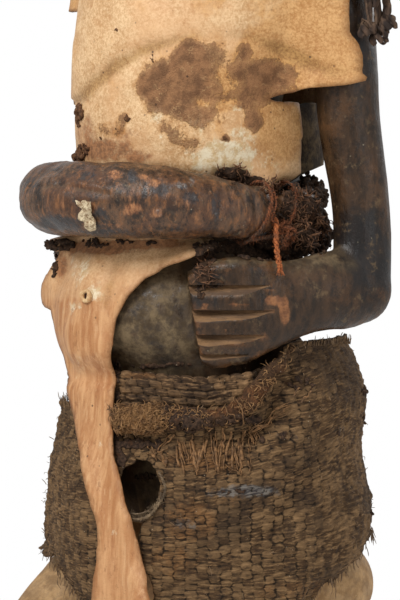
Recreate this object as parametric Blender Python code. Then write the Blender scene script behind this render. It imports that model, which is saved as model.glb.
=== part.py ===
"""Standing community power figure: a carved wooden figure on its round base, wrapped in a stiff hide,
with a stuffed hide tube tied round the waist, a plaited waist band and a coarse woven skirt.
It faces -Y, its own left is +X, and the origin is the middle of the base's underside. Metres, +Z up."""

import math

import bmesh
import bpy
import numpy as np
from mathutils import Vector
from mathutils.bvhtree import BVHTree
from mathutils.geometry import delaunay_2d_cdt

MM = 0.001

# ---- driving dimensions, in millimetres ----
BASE_RADIUS, BASE_HEIGHT, BASE_Y = 115, 45, -5
# trunk sections: height, half width, front, back
TRUNK = [
    (255, 70, 55, 70), (285, 80, 62, 76), (315, 74, 68, 64), (340, 66, 71, 52), (358, 66.5, 74, 46), (377, 73, 88, 43),
    (400, 72, 86, 40), (425, 61, 72, 37), (455, 50.5, 58, 36), (490, 54.5, 54, 41), (530, 62, 56, 50),
    (570, 72, 56, 54), (610, 82, 52, 54), (635, 80, 44, 48), (655, 58, 36, 38), (664, 36, 30, 31),
]
NECK = [(650, 34), (668, 31), (690, 29), (715, 30), (735, 32)]
# head sections: height, half width, front, back
HEAD = [
    (694, 22, 50, 14), (703, 31, 63, 24), (718, 38, 66, 37), (742, 44, 61, 48), (768, 47, 57, 55),
    (795, 50, 60, 60), (822, 53, 66, 62), (848, 52, 66, 60), (872, 45, 57, 52), (889, 31, 40, 37), (899, 13, 17, 16),
]
# limbs of the figure's left side: x, y, z, half thickness across, half thickness up or along
UPPER_ARM = [
    (80, 16, 634, 27, 26), (90, 20, 616, 26, 26), (100, 28, 580, 21, 22), (102, 31, 540, 20, 21), (104.5, 33, 505, 19.3, 20),
    (109, 38, 460, 17.5, 19), (110, 39, 428, 17.5, 20), (110, 37, 404, 17, 21),
]
FOREARM = [
    (110, 44, 409, 16, 18), (109, 30, 405, 17, 24), (105.5, 8, 404, 17, 25), (101, -6, 401, 15, 24), (95, -18, 398, 13, 26),
    (84, -38, 393, 10.5, 31), (74, -48.5, 390, 9, 33), (65, -57, 389, 8.5, 32), (60.5, -61.5, 388, 7, 30),
]
THUMB = [(62, -61, 414, 6, 6), (71, -53, 417, 8.5, 8), (85, -37, 418, 9, 8.5), (97, -16, 413, 8, 8)]
# the right hand, under the hide, lies higher and flatter
RIGHT_FOREARM = [
    (110, 44, 409, 16, 18), (109, 30, 405, 17, 24), (105.5, 8, 405, 17, 24), (101, -6, 403, 15, 23), (94, -17, 402, 13, 24),
    (82, -36, 401, 10.5, 27), (72, -46.5, 401, 9, 28), (63, -55, 402, 8.5, 27), (58.5, -59.5, 402, 7, 26),
]
RIGHT_THUMB = [(60, -59, 422, 6, 5), (69, -51, 424, 8, 7), (83, -36, 424, 9, 8), (96, -16, 417, 8, 8)]
FINGER_CUTS = [(408.8, 401.4), (393.3, 386), (378, 368.8), (365.7, 357.7)]  # deep line, outer line
THIGH = [(44, 26, 262, 38, 38), (50, -2, 232, 39, 37), (59, -39, 199, 36, 35), (64, -68, 171, 34, 35), (64, -74, 152, 32, 33)]
SHIN = [(64, -64, 160, 32, 33), (62, -43, 130, 29, 30), (59, -24, 100, 27, 28), (58, -14, 74, 27, 27), (58, -10, 48, 29, 30)]
FOOT = [(58, 22, 60, 20, 16), (58, 0, 62, 27, 20), (60, -36, 60, 31, 17), (63, -66, 56, 33, 13), (65, -88, 52, 31, 9)]
BUTTOCK = (50, 62, 207, 37, 40, 35)  # centre, then half sizes

TUBE_CENTRE_Y, TUBE_RING, TUBE_BACK, TUBE_Z = -16, 79, 88, 461
# stuffed tube: azimuth, radius, height above TUBE_Z
TUBE = [
    (86.5, 2, -8), (86, 8, -8), (84.5, 13, -8), (81, 16, -8), (75, 17.8, -7), (62, 20, -5), (48, 22, -3), (30, 23.6, -1), (0, 24, 0),
    (-30, 24, 0), (-60, 22.5, 1), (-90, 20, 2), (-115, 18, 2), (-135, 17.5, 2), (-180, 17, 1), (-215, 14.5, 0), (-240, 12, -4), (-254, 11, -6),
    (-260, 9.5, -6.5), (-262.5, 7, -7), (-263.5, 2, -7),
]
TUBE_SIDES, TUBE_STEPS = 12, 38

HIDE_THICK, SKIRT_THICK, BAND_THICK = 1.8, 2.6, 7
CLEAR = 2.2  # daylight left between a sheet and what it lies on
HIDE_SLIT = 523.5  # height of the slits that let the arms through
HIDE_BEND = 600  # above it the hide turns in over the shoulders
HIDE_TOP, NECK_HOLE = 674, 37
BAND_TOP, BAND_HEIGHT = 354.5, 24


def clear_scene():
    for obj in list(bpy.data.objects):
        bpy.data.objects.remove(obj, do_unlink=True)


def material(name, colour, rough):
    mat = bpy.data.materials.new(name)
    mat.use_nodes = True
    shader = mat.node_tree.nodes["Principled BSDF"]
    shader.inputs["Base Color"].default_value = (*colour, 1)
    shader.inputs["Roughness"].default_value = rough
    shader.inputs["Metallic"].default_value = 0
    mat.diffuse_color = (*colour, 1)
    return mat


def new_object(name, points, faces, mat=None):
    mesh = bpy.data.meshes.new(name)
    mesh.from_pydata([tuple(p) for p in points], [], [tuple(f) for f in faces])
    mesh.validate()
    obj = bpy.data.objects.new(name, mesh)
    bpy.context.scene.collection.objects.link(obj)
    if mat:
        mesh.materials.append(mat)
    return obj


# ---- solid forms -----------------------------------------------------------


def resample(rows, steps):
    """Catmull-Rom through the rows of a table, evenly by row number."""
    rows = np.array(rows, float)
    out = []
    for t in np.linspace(0, len(rows) - 1, steps):
        i = min(int(t), len(rows) - 2)
        f = t - i
        p0, p1, p2, p3 = (rows[min(max(i + k, 0), len(rows) - 1)] for k in (-1, 0, 1, 2))
        out.append(
            0.5 * (2 * p1 + (p2 - p0) * f + (2 * p0 - 5 * p1 + 4 * p2 - p3) * f * f + (3 * p1 - p0 - 3 * p2 + p3) * f**3)
        )
    return np.array(out)


def loft(rings):
    """Points and faces of a closed skin over rings of equal length, capped with a fan at both ends."""
    rings = [np.array(r, float) for r in rings]
    n, m = len(rings[0]), len(rings)
    points = np.concatenate(rings + [[rings[0].mean(0)], [rings[-1].mean(0)]])
    faces = []
    for i in range(m - 1):
        for j in range(n):
            k = (j + 1) % n
            faces.append((i * n + j, i * n + k, (i + 1) * n + k, (i + 1) * n + j))
    for j in range(n):
        k = (j + 1) % n
        faces.append((m * n, k, j))
        faces.append((m * n + 1, (m - 1) * n + j, (m - 1) * n + k))
    volume = 0.0
    for face in faces:
        a = points[face[0]]
        for b, c in zip(face[1:-1], face[2:]):
            volume += np.dot(a, np.cross(points[b], points[c]))
    if volume < 0:
        faces = [f[::-1] for f in faces]
    return points, faces


def upright(sections, sides, steps, squareness=1.0, y=0.0):
    """A skin over level sections: height, half width, front, back."""
    turn = np.linspace(0, 2 * math.pi, sides, endpoint=False)
    c, s = np.cos(turn), np.sin(turn)
    rings = []
    for z, a, front, back in resample(sections, steps):
        x = a * np.sign(c) * np.abs(c) ** squareness
        d = np.where(s > 0, back, front) * np.sign(s) * np.abs(s) ** squareness
        rings.append(np.stack([x, y + d, np.full(sides, z)], 1))
    return loft(rings)


def limb(stations, sides, steps, up=(0, 0, 1)):
    """A skin over sections square to a path: x, y, z, half thickness across, half thickness along up."""
    rows = resample(stations, steps)
    turn = np.linspace(0, 2 * math.pi, sides, endpoint=False)
    along = np.gradient(rows[:, :3], axis=0)
    rings = []
    for row, t in zip(rows, along):
        t = t / np.linalg.norm(t)
        across = np.cross(t, up)
        across /= np.linalg.norm(across)
        high = np.cross(across, t)
        rings.append(row[:3] + np.outer(np.cos(turn) * row[3], across) + np.outer(np.sin(turn) * row[4], high))
    return loft(rings)


def blob(centre, size, sides=20, rows=12):
    turn = np.linspace(0, 2 * math.pi, sides, endpoint=False)
    rings = []
    for lat in np.linspace(-math.pi / 2 + 0.12, math.pi / 2 - 0.12, rows):
        r = math.cos(lat)
        rings.append(
            np.stack([np.cos(turn) * r * size[0], np.sin(turn) * r * size[1], np.full(sides, math.sin(lat) * size[2])], 1)
            + np.array(centre, float)
        )
    return loft(rings)


def mirrored(part):
    points, faces = part
    return points * np.array([-1.0, 1.0, 1.0]), [f[::-1] for f in faces]


def both(part):
    return [part, mirrored(part)]


def figure_shapes():
    """All closed forms that the figure is carved of, in millimetres; they overlap and are fused."""
    parts = [upright(TRUNK, 40, 44, 0.92)]
    parts.append(upright([(z, r, r, r) for z, r in NECK], 28, 16))
    for z in (676, 692, 708):
        parts.append(upright([(z - 5, 30, 30, 30), (z, 34.5, 34.5, 34.5), (z + 5, 30, 30, 30)], 28, 7))
    parts.append(upright([(-8, 115, 115, 115), (38, 116, 116, 116), (43, 113, 113, 113), (45, 108, 108, 108)], 56, 10, 1.0, BASE_Y))
    # head
    parts.append(upright(HEAD, 32, 34, 0.94))
    parts.append(upright([(689, 17, 70, -34), (694, 21, 75, -30), (704, 22, 74, -30), (716, 20, 66, -40)], 20, 12, 0.6))
    parts.append(limb([(0, -62, 834, 5, 5), (0, -68, 815, 6, 7), (0, -73, 795, 8, 9), (0, -78, 779, 11, 9), (0, -76, 770, 11, 5)], 16, 14, (0, -1, 0)))
    for side in (1, -1):
        parts.append(blob((side * 22, -54, 800), (17, 13, 9)))
        parts.append(limb([(side * 5, -64, 815, 4, 5), (side * 20, -63, 826, 4.5, 5), (side * 36, -52, 820, 4, 4), (side * 44, -38, 806, 3, 3)], 10, 16))
        parts.append(limb([(side * 48, 2, 814, 4, 8), (side * 52, 8, 803, 5, 10), (side * 51, 8, 786, 5, 9), (side * 46, 2, 774, 4, 5)], 10, 12, (0, 1, 0)))
    parts.append(blob((0, -58, 744), (17, 11, 5.5)))
    parts.append(blob((0, -58, 734), (15, 10.5, 5.5)))
    # arms, hands, legs, feet
    for shape in (
        limb(UPPER_ARM, 24, 44, (0, 1, 0)),
        blob((109.5, 37.5, 405), (19, 21, 22)),
        limb(THIGH, 26, 26, (0, 1, 0.4)),
        limb(SHIN, 24, 24, (0, 1, 0)),
        limb(FOOT, 22, 22),
        blob((64, -70, 163), (32, 31, 31)),
        blob(BUTTOCK[:3], BUTTOCK[3:]),
    ):
        parts += both(shape)
    parts += [limb(FOREARM, 24, 40), limb(THUMB, 14, 16), mirrored(limb(RIGHT_FOREARM, 24, 40)), mirrored(limb(RIGHT_THUMB, 14, 16))]
    for k in range(5):  # toes
        x, y = 43 + k * 11.5, -91 - 4 * math.sin(math.pi * (k + 1.2) / 6)
        parts += both(limb([(x, -70, 54, 6, 8), (x, y + 8, 52, 6, 7), (x, y - 3, 50, 4.5, 5)], 10, 8))
    parts.append(blob((0, -86, 374), (9, 8, 10)))  # navel
    return parts


def fused(parts, voxel, smoothing):
    """One closed skin over all the forms."""
    points, faces, start = [], [], 0
    for p, f in parts:
        points.append(p * MM)
        faces += [tuple(i + start for i in face) for face in f]
        start += len(p)
    obj = new_object("fused", np.concatenate(points), faces)
    remesh = obj.modifiers.new("fuse", "REMESH")
    remesh.mode, remesh.voxel_size = "VOXEL", voxel * MM
    smooth = obj.modifiers.new("soften", "SMOOTH")
    smooth.factor, smooth.iterations = 0.5, smoothing
    return obj


def baked(obj):
    graph = bpy.context.evaluated_depsgraph_get()
    return bpy.data.meshes.new_from_object(obj.evaluated_get(graph))


def fewer(obj, triangles):
    """Adds a Decimate that leaves about this many triangles."""
    mesh = baked(obj)
    count = sum(len(p.vertices) - 2 for p in mesh.polygons)
    bpy.data.meshes.remove(mesh)
    thin = obj.modifiers.new("fewer", "DECIMATE")
    thin.ratio = min(1.0, triangles / count)


def finger_cutter(deep, outer, side):
    """A wedge between two fingers: its lower face slopes out and down, and it runs out at the wrist."""
    n = np.array([0.70, -0.714, 0.0])
    run = np.array([0.70, 0.714, 0.0])
    tip = np.array([64.5, -65.5, 0.0]) - 14 * run
    end = np.array([64.5, -65.5, 0.0]) + 58 * run
    rings = []
    for at, depth in ((tip, 7.5), (end, -5.0)):
        low = at + n * 9
        low[2] = outer - (outer - deep) * (-9 / 7.5) * 1.0
        inner = at - n * depth
        inner[2] = deep
        high = at + n * 9
        high[2] = deep + 0.8
        rings.append([low, inner, high])
    points, faces = loft(rings)
    points = points * MM
    if side < 0:
        points, faces = mirrored((points + np.array([-2, 2, 11]) * MM, faces))
    return points, faces


def carve(obj, cutters):
    for i, cutter in enumerate(cutters):
        cut = obj.modifiers.new(f"cut{i}", "BOOLEAN")
        cut.operation, cut.solver, cut.object = "DIFFERENCE", "EXACT", cutter


def flat_below(mesh, z=0.0):
    bm = bmesh.new()
    bm.from_mesh(mesh)
    bmesh.ops.bisect_plane(
        bm, geom=bm.verts[:] + bm.edges[:] + bm.faces[:], plane_co=(0, 0, z), plane_no=(0, 0, 1), clear_inner=True, dist=1e-7
    )
    rim = [e for e in bm.edges if e.is_boundary]
    bmesh.ops.contextual_create(bm, geom=rim)
    bmesh.ops.recalc_face_normals(bm, faces=bm.faces[:])
    bm.to_mesh(mesh)
    bm.free()


def make_figure(mat):
    rough = fused(figure_shapes(), 2.6, 3)
    fewer(rough, 3850)
    mesh = baked(rough)
    bpy.data.objects.remove(rough, do_unlink=True)
    flat_below(mesh)
    figure = bpy.data.objects.new("figure", mesh)
    bpy.context.scene.collection.objects.link(figure)
    mesh.materials.clear()
    mesh.materials.append(mat)
    cutters = []
    for side in (1, -1):
        for i, (deep, outer) in enumerate(FINGER_CUTS):
            points, faces = finger_cutter(deep, outer, side)
            cutter = new_object(f"finger_cut_{i}_{'l' if side > 0 else 'r'}", points, faces)
            cutter.hide_render, cutter.display_type = True, "WIRE"
            cutters.append(cutter)
    carve(figure, cutters)
    return figure


# ---- the space round the figure, in polar terms ----------------------------

STEP_PHI, STEP_Z = 3.0, 4.0
PHIS = np.arange(-180.0, 180.0, STEP_PHI)
ZS = np.arange(120.0, 700.0, STEP_Z)


def direction(phi):
    """Azimuth 0 is the figure's front, 90 its left."""
    a = math.radians(phi)
    return np.array([math.sin(a), -math.cos(a), 0.0])


def tree_of(obj):
    graph = bpy.context.evaluated_depsgraph_get()
    mesh = obj.evaluated_get(graph).to_mesh()
    tree = BVHTree.FromPolygons([v.co.copy() for v in mesh.vertices], [tuple(p.vertices) for p in mesh.polygons])
    return tree


def reach_field(tree, outward=False):
    """How far the solid reaches from the axis at each azimuth and height, seen from outside or from the axis."""
    field = np.zeros((len(PHIS), len(ZS)))
    for i, phi in enumerate(PHIS):
        d = direction(phi)
        for j, z in enumerate(ZS):
            if outward:
                hit = tree.ray_cast(Vector((0, 0, z * MM)), Vector(d), 0.3)
            else:
                hit = tree.ray_cast(Vector(d * 0.3) + Vector((0, 0, z * MM)), Vector(-d), 0.3)
            if hit[0] is not None:
                field[i, j] = math.hypot(hit[0].x, hit[0].y) / MM
    return field


def widest(field, i, j):
    """The largest value within i azimuth steps and j height steps."""
    out = field.copy()
    for a in range(-i, i + 1):
        shifted = np.roll(field, a, 0)
        for b in range(-j, j + 1):
            moved = np.full_like(field, -1e9)
            if b < 0:
                moved[:, :b] = shifted[:, -b:]
            elif b > 0:
                moved[:, b:] = shifted[:, :-b]
            else:
                moved = shifted
            out = np.maximum(out, moved)
    return out


def blurred(field, i, j):
    out = sum(np.roll(field, a, 0) for a in range(-i, i + 1)) / (2 * i + 1)
    pad = np.pad(out, ((0, 0), (j, j)), mode="edge")
    return sum(pad[:, b : b + out.shape[1]] for b in range(2 * j + 1)) / (2 * j + 1)


def look_up(field, phi, z):
    p = (phi + 180.0) / STEP_PHI
    q = min(max((z - ZS[0]) / STEP_Z, 0.0), len(ZS) - 1.001)
    i, j = math.floor(p), int(q)
    fp, fq = p - i, q - j
    a, b = i % len(PHIS), (i + 1) % len(PHIS)
    return (field[a, j] * (1 - fp) + field[b, j] * fp) * (1 - fq) + (field[a, j + 1] * (1 - fp) + field[b, j + 1] * fp) * fq


def table(x, rows):
    """Straight lines through rows of (x, value)."""
    rows = sorted(rows)
    return float(np.interp(x, [r[0] for r in rows], [r[1] for r in rows]))


def wrap(phi):
    return (phi + 180.0) % 360.0 - 180.0


# ---- the stuffed tube ---------------------------------------------------------


def tube_rows(steps):
    rows = resample(TUBE, steps)
    rows[:, 1] = np.maximum(rows[:, 1], 1.5)
    return rows


def tube_point(phi, lift):
    """The tube's centre line: a ring, drawn out a little behind."""
    x, y, _ = direction(phi) * TUBE_RING
    return np.array([x, y * (TUBE_BACK / TUBE_RING if y > 0 else 1) + TUBE_CENTRE_Y, TUBE_Z + lift])


def make_tube(mat):
    rows = tube_rows(TUBE_STEPS)
    path = np.array([tube_point(p, lift) for p, _, lift in rows])
    stations = np.concatenate([path, rows[:, 1:2], rows[:, 1:2] * 0.97], 1)
    turn = np.linspace(0, 2 * math.pi, TUBE_SIDES, endpoint=False)
    along = np.gradient(path, axis=0)
    rings = []
    for row, t in zip(stations, along):
        t = t / np.linalg.norm(t)
        across = np.cross(t, (0, 0, 1))
        across /= np.linalg.norm(across)
        high = np.cross(across, t)
        rings.append(row[:3] + np.outer(np.cos(turn) * row[3], across) + np.outer(np.sin(turn) * row[4], high))
    points, faces = loft(rings)
    return new_object("belt_tube", points * MM, faces, mat)


def tube_limit(phi, z, reach):
    """The reach, pulled in where needed so that it passes inside the stuffed tube, with more daylight under the lashings."""
    d = direction(phi)
    while reach > 30:
        away = np.linalg.norm(TUBE_LINE - np.append(d[:2] * reach, z), axis=1)
        k = int(np.argmin(away))
        own = TUBE_ROWS[k, 0]
        clear = 4.8 + 3.2 * max(0.0, 1 - abs(wrap(own - 140)) / 30) + 4.2 * max(0.0, 1 - abs(own - 79) / 18) ** 0.5 + 4.5 * max(0.0, 1 - abs(own + 257) / 16) ** 0.5
        if away[k] >= TUBE_ROWS[k, 1] + clear or (z < 437 and reach > math.hypot(*TUBE_LINE[k, :2]) + 4):
            return reach
        reach -= 0.5
    return reach


TUBE_ROWS = tube_rows(240)
TUBE_LINE = np.array([tube_point(p, lift) for p, _, lift in TUBE_ROWS])


# ---- cloths: an outline in azimuth and height, given a reach from the axis ----


def inside(point, loops):
    x, y = point
    odd = False
    for loop in loops:
        j = len(loop) - 1
        for i in range(len(loop)):
            xi, yi = loop[i]
            xj, yj = loop[j]
            if (yi > y) != (yj > y) and x < (xj - xi) * (y - yi) / (yj - yi) + xi:
                odd = not odd
            j = i
    return odd


def split_loop(loop, longest):
    out = []
    for i, a in enumerate(loop):
        b = loop[(i + 1) % len(loop)]
        n = max(1, math.ceil(math.dist(a, b) / longest))
        out += [(a[0] + (b[0] - a[0]) * k / n, a[1] + (b[1] - a[1]) * k / n) for k in range(n)]
    return out


def flat_mesh(loops, spacing, rows=None, keep_off=0.45):
    """Triangles over the area between closed loops, with points about the spacing apart. rows gives the heights of the lines of inner points."""
    loops = [split_loop(loop, spacing) for loop in loops]
    points = [p for loop in loops for p in loop]
    edges, start = [], 0
    for loop in loops:
        edges += [(start + i, start + (i + 1) % len(loop)) for i in range(len(loop))]
        start += len(loop)
    rim = np.array(points)
    low, high = rim.min(0), rim.max(0)
    if rows is None:
        rows = np.arange(low[1] + spacing * 0.6, high[1], spacing * 0.87)
    for r, y in enumerate(rows):
        for x in np.arange(low[0] + spacing * (0.5 if r % 2 else 1.0), high[0], spacing):
            if inside((x, y), loops) and np.min(np.hypot(rim[:, 0] - x, rim[:, 1] - y)) > spacing * keep_off:
                points.append((x, y))
    out = delaunay_2d_cdt([Vector(p) for p in points], edges, [], 0, 1e-5)
    flat = np.array([tuple(v) for v in out[0]])
    faces = [f for f in out[2] if inside(flat[list(f)].mean(0), loops)]
    used = sorted({i for f in faces for i in f})
    number = {old: new for new, old in enumerate(used)}
    return flat[used], [tuple(number[i] for i in f) for f in faces]


def cloth(name, flat, faces, place, thick, mat):
    """A closed sheet: each flat point placed in space, then given its thickness."""
    points = [np.array(place(s, v)) * MM for s, v in flat]
    obj = new_object(name, points, faces, mat)
    bm = bmesh.new()
    bm.from_mesh(obj.data)
    bmesh.ops.remove_doubles(bm, verts=bm.verts[:], dist=2e-5)
    bmesh.ops.recalc_face_normals(bm, faces=bm.faces[:])
    bm.to_mesh(obj.data)
    bm.free()
    thicken = obj.modifiers.new("thickness", "SOLIDIFY")
    thicken.thickness, thicken.offset, thicken.use_even_offset = thick * MM, 0.0, False
    return obj


# ---- skirt and waist band ------------------------------------------------------

# azimuth, height where the cloth leaves the hips; azimuth, height of the top edge; azimuth, height of the hem
SKIRT_LEVEL = [(-180, 338), (-120, 334), (-60, 336), (-40, 335), (-18, 324), (20, 313), (50, 311), (66, 314), (74, 324), (80, 343), (86, 359), (95, 364), (120, 370), (150, 366), (180, 338)]
SKIRT_TOP = [(-180, 338), (-120, 334), (-60, 331), (-20, 330.5), (50, 330), (58, 331), (65, 338), (72, 351), (78, 361), (84, 369), (95, 371), (120, 371), (150, 366), (180, 338)]
SKIRT_HEM = [(-180, 214), (-150, 208), (-120, 216), (-90, 214), (-70, 228), (-45, 232), (-20, 222), (8, 204), (36, 188), (60, 187), (85, 206), (100, 219), (111, 229), (125, 240), (138, 244), (160, 226), (180, 214)]
SKIRT_WEAR = [  # the ragged outline of the hem, one bite each: azimuth, half width, depth
    (-160, 5, 7), (-128, 4, 10), (-101, 5, 6), (-78, 4, 9), (-58, 3, 6), (-33, 4, 8), (52, 5, 5), (96, 4, 8), (121, 5, 10), (146, 4, 7), (168, 4, 8),
]
GAP_LEFT, GAP_RIGHT = 9.0, 34.0  # the torn opening in front, in degrees
GAP_TOP = 246
HOLE = (24.5, 276, 9.5, 20)  # the round hole above it: azimuth, height, half width in degrees, half height


def skirt_reach(phi, z):
    top = table(wrap(phi), SKIRT_LEVEL)
    drop = table(top - z, [(0, -17), (8, -12), (16, -8.5), (32, -4), (50, 0), (90, 2.5), (120, 1), (150, -3)])
    back = table(top - z, [(0, -17), (8, -12.5), (18, -9), (32, -4.5), (51, -6.5), (64, -8), (74, -6.5), (87, -4), (100, -1.5), (113, 0.5), (126, -0.5), (134, -3), (143, -9), (155, -12)])
    share = max(0.0, math.cos(math.radians(phi - 135))) ** 0.5
    left = max(0.0, math.cos(math.radians(phi + 45)))
    drop = drop * (1 - share) + back * share - 7 * left**2 * min(1.0, max(0.0, (top - z - 88) / 32))
    folds = 1.6 * math.sin(math.radians(5 * phi + 30)) * min(1.0, max(0.0, (top - z) / 90)) * (1 - share)
    design = 105 + 10 * math.cos(math.radians(phi - 135)) + drop + folds
    return max(design, look_up(FIELD["hips"], phi, z) + CLEAR + SKIRT_THICK / 2)


def skirt_outline():
    """Azimuth runs from the right side of the front gap once round to its left side; the two ends are sewn above the gap."""
    start, turn = 21.0, 360.0
    bottom = []
    for phi in np.arange(GAP_RIGHT, GAP_LEFT + turn + 0.1, 5.0):
        z = table(wrap(phi), SKIRT_HEM)
        z += sum(depth * max(0.0, 1 - abs(wrap(phi - at)) / half) for at, half, depth in SKIRT_WEAR)
        bottom.append((phi, z))
    top = [(phi, table(wrap(phi), SKIRT_TOP)) for phi in np.arange(start + turn, start - 0.1, -7.5)]
    a, z, half, high = HOLE
    seam = list(np.linspace(table(start, SKIRT_TOP), z + high, 4))[1:]
    left = [(start, s) for s in seam]
    left += [(a + half * math.sin(t) , z + high * math.cos(t)) for t in np.linspace(0.35, math.pi - 0.5, 6)]
    left += [(27.0, GAP_TOP + 6), (29.5, GAP_TOP - 8), (32, 226), (GAP_RIGHT - 1, 208)]
    right = [(GAP_LEFT + 1 + turn, 220), (GAP_LEFT + 4 + turn, 238), (GAP_LEFT + 6 + turn, GAP_TOP + 4)]
    right += [(a - half * math.sin(t) + turn, z + high * math.cos(t)) for t in np.linspace(math.pi - 0.5, 0.35, 6)]
    right += [(start + turn, s) for s in seam[::-1]]
    return left + bottom + right + top


def make_skirt(mat):
    scale = 106 * math.pi / 180
    loop = [(phi * scale, z) for phi, z in skirt_outline()]
    flat, faces = flat_mesh([loop], 20)

    def place(s, z):
        phi = s / scale
        return direction(phi) * skirt_reach(phi, z) + np.array([0, 0, z])

    return cloth("skirt", flat, faces, place, SKIRT_THICK, mat)


def band_height(phi):
    phi = wrap(phi)
    return BAND_TOP - BAND_HEIGHT / 2 + table(phi, [(-180, 3), (-120, 0), (-60, 0), (20, 0), (50, -3), (75, 2), (95, 9), (130, 18), (160, 12), (180, 3)])


def band_reach(phi):
    z = band_height(phi)
    hold = max(look_up(FIELD["waist"], phi, z + k) for k in (-12, 0, 12))
    return hold + CLEAR * 0.6 + BAND_THICK / 2


def make_band(mat):
    steps, turn = 44, np.linspace(0, 2 * math.pi, 6, endpoint=False)
    phis = np.linspace(0, 360, steps, endpoint=False)
    reach = np.array([band_reach(p) for p in phis])
    reach = np.maximum(reach, (np.roll(reach, 1) + np.roll(reach, -1) + 2 * reach) / 4)
    points, faces = [], []
    for phi, r in zip(phis, reach):
        d, z = direction(phi), band_height(phi)
        for t in turn:
            c, s = math.cos(t), math.sin(t)
            out = BAND_THICK / 2 * math.copysign(abs(c) ** 0.7, c)
            up = BAND_HEIGHT / 2 * math.copysign(abs(s) ** 0.7, s)
            points.append((d * (r + out) + np.array([0, 0, z + up])) * MM)
    n = len(turn)
    for i in range(steps):
        for j in range(n):
            a, b = i * n, ((i + 1) % steps) * n
            faces.append((a + j, b + j, b + (j + 1) % n, a + (j + 1) % n))
    obj = new_object("waist_band", points, faces, mat)
    bm = bmesh.new()
    bm.from_mesh(obj.data)
    bmesh.ops.recalc_face_normals(bm, faces=bm.faces[:])
    bm.to_mesh(obj.data)
    bm.free()
    return obj


# ---- the hide ------------------------------------------------------------------

# lower sheet round the trunk, between the tube and the slits: azimuth, reach at slit height
SHEET_REACH = [(-254, 71), (-240, 77), (-225, 80), (-200, 73), (-180, 66), (-150, 70), (-120, 76), (-90, 77), (-60, 77), (-45, 77), (0, 78), (45, 79), (80, 79), (106, 78)]
# cape over the shoulders: azimuth, reach at the bend
CAPE_HIGH = [(-254, 124), (-245, 120), (-225, 96), (-205, 72), (-180, 66), (-155, 72), (-135, 98), (-118, 122), (-104, 130), (-92, 119), (-78, 99), (-68, 81), (-60, 75), (-52, 71.5), (-45, 70.5), (0, 74), (30, 78), (45, 80), (60, 85), (70, 91), (82, 100), (90, 112), (95.5, 122), (99, 129), (106, 134)]
# and low down, where it leaves the lower sheet
CAPE_LOW = [(-254, 84), (-225, 80), (-200, 73), (-180, 66), (-150, 70), (-140, 77), (-118, 122), (-104, 130), (-92, 119), (-78, 99), (-68, 84), (-60, 80), (-45, 79.5), (0, 78), (45, 79), (79, 79), (83, 80), (87, 90), (90, 100), (93, 112), (96, 122.5), (99, 131), (106, 135)]
APRON_EDGE_RIGHT = [  # sideways from the axis as seen from the left front, and height
    (13, 436), (8, 430), (-3, 426), (-19, 420), (-32, 411), (-42, 400), (-49, 387), (-51, 372), (-51, 356), (-50.5, 340), (-51, 323),
    (-50, 304), (-47, 294), (-44, 278), (-41, 265), (-36.5, 249), (-32.5, 232.5), (-29.5, 216), (-28, 200), (-27, 184), (-27, 168), (-31, 154), (-40, 147),
]
APRON_EDGE_LEFT = [
    (-53, 146), (-62, 152), (-67, 166), (-67.5, 184), (-65, 200), (-62.5, 216), (-60.5, 232.5), (-59, 249), (-60.5, 262), (-65, 278), (-70.5, 300), (-75.5, 323),
    (-80, 343), (-86.5, 369), (-91.5, 389), (-98.5, 392), (-99.5, 398), (-98, 405), (-94, 413), (-89, 421), (-86, 427),
]


def cape_reach(phi, v):
    """Reach of the cape below the bend, where it stands off the arms."""
    up = min(1.0, max(0.0, (v - HIDE_SLIT) / (HIDE_BEND - HIDE_SLIT)))
    bulge = 2.5 * math.sin(math.pi * up) * max(0.0, math.cos(math.radians(phi - 20)))
    return table(phi, CAPE_LOW) * (1 - up) + table(phi, CAPE_HIGH) * up + bulge


def hide_place(phi, v):
    """A point of the hide: below the bend v is its height, above it v runs in over the shoulder to the neck."""
    if v > HIDE_BEND:
        t = min(1.0, (v - HIDE_BEND) / 100.0) * math.pi / 2
        out = cape_reach(phi, HIDE_BEND)
        reach = NECK_HOLE + (out - NECK_HOLE) * max(math.cos(t), 0.0) ** 0.62
        height = HIDE_BEND + (HIDE_TOP - HIDE_BEND) * math.sin(t) ** 0.62
        return direction(phi) * reach + np.array([0, 0, height])
    if v >= HIDE_SLIT:
        return direction(phi) * cape_reach(phi, v) + np.array([0, 0, v])
    back = max(0.0, 1 - abs(wrap(phi - 132)) / 32) * min(5.5, max(0.0, (522 - v) * 0.16))
    if v >= 484:
        reach = table(phi, SHEET_REACH) + back - table(v, [(484, 2.5), (500, 0.5), (527, 0)])
    else:
        side = table(phi, SHEET_REACH) + back - 2.5
        low = look_up(FIELD["apron"], phi, v) + CLEAR + HIDE_THICK / 2 + table(phi, [(-14, 0), (-4, 1), (6, 1), (14, 0)])
        trunk = look_up(FIELD["trunk"], phi, v) + CLEAR + HIDE_THICK / 2
        reach = max(side if v >= 437 else low, trunk)
        if v < 345 and abs(wrap(phi + 10)) < 70:
            reach = max(reach, skirt_reach(phi, v) + SKIRT_THICK / 2 + CLEAR + HIDE_THICK / 2)
    if v < 492:
        reach = tube_limit(phi, v, reach)
    return direction(phi) * reach + np.array([0, 0, v])


def azimuth_at(sideways, v):
    """The azimuth where the hide at this height stands this far sideways, seen from the left front."""
    line = []
    for phi in np.arange(-62.0, 80.0, 0.5):
        p = hide_place(phi, v)
        line.append((math.sqrt(0.5) * (p[0] + p[1]), phi))
    start = min(line)[1] if v < 390 else -62.0  # the strip ends on the near side
    return min((s for s in line if s[1] >= start), key=lambda s: abs(s[0] - sideways))[1]


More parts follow.
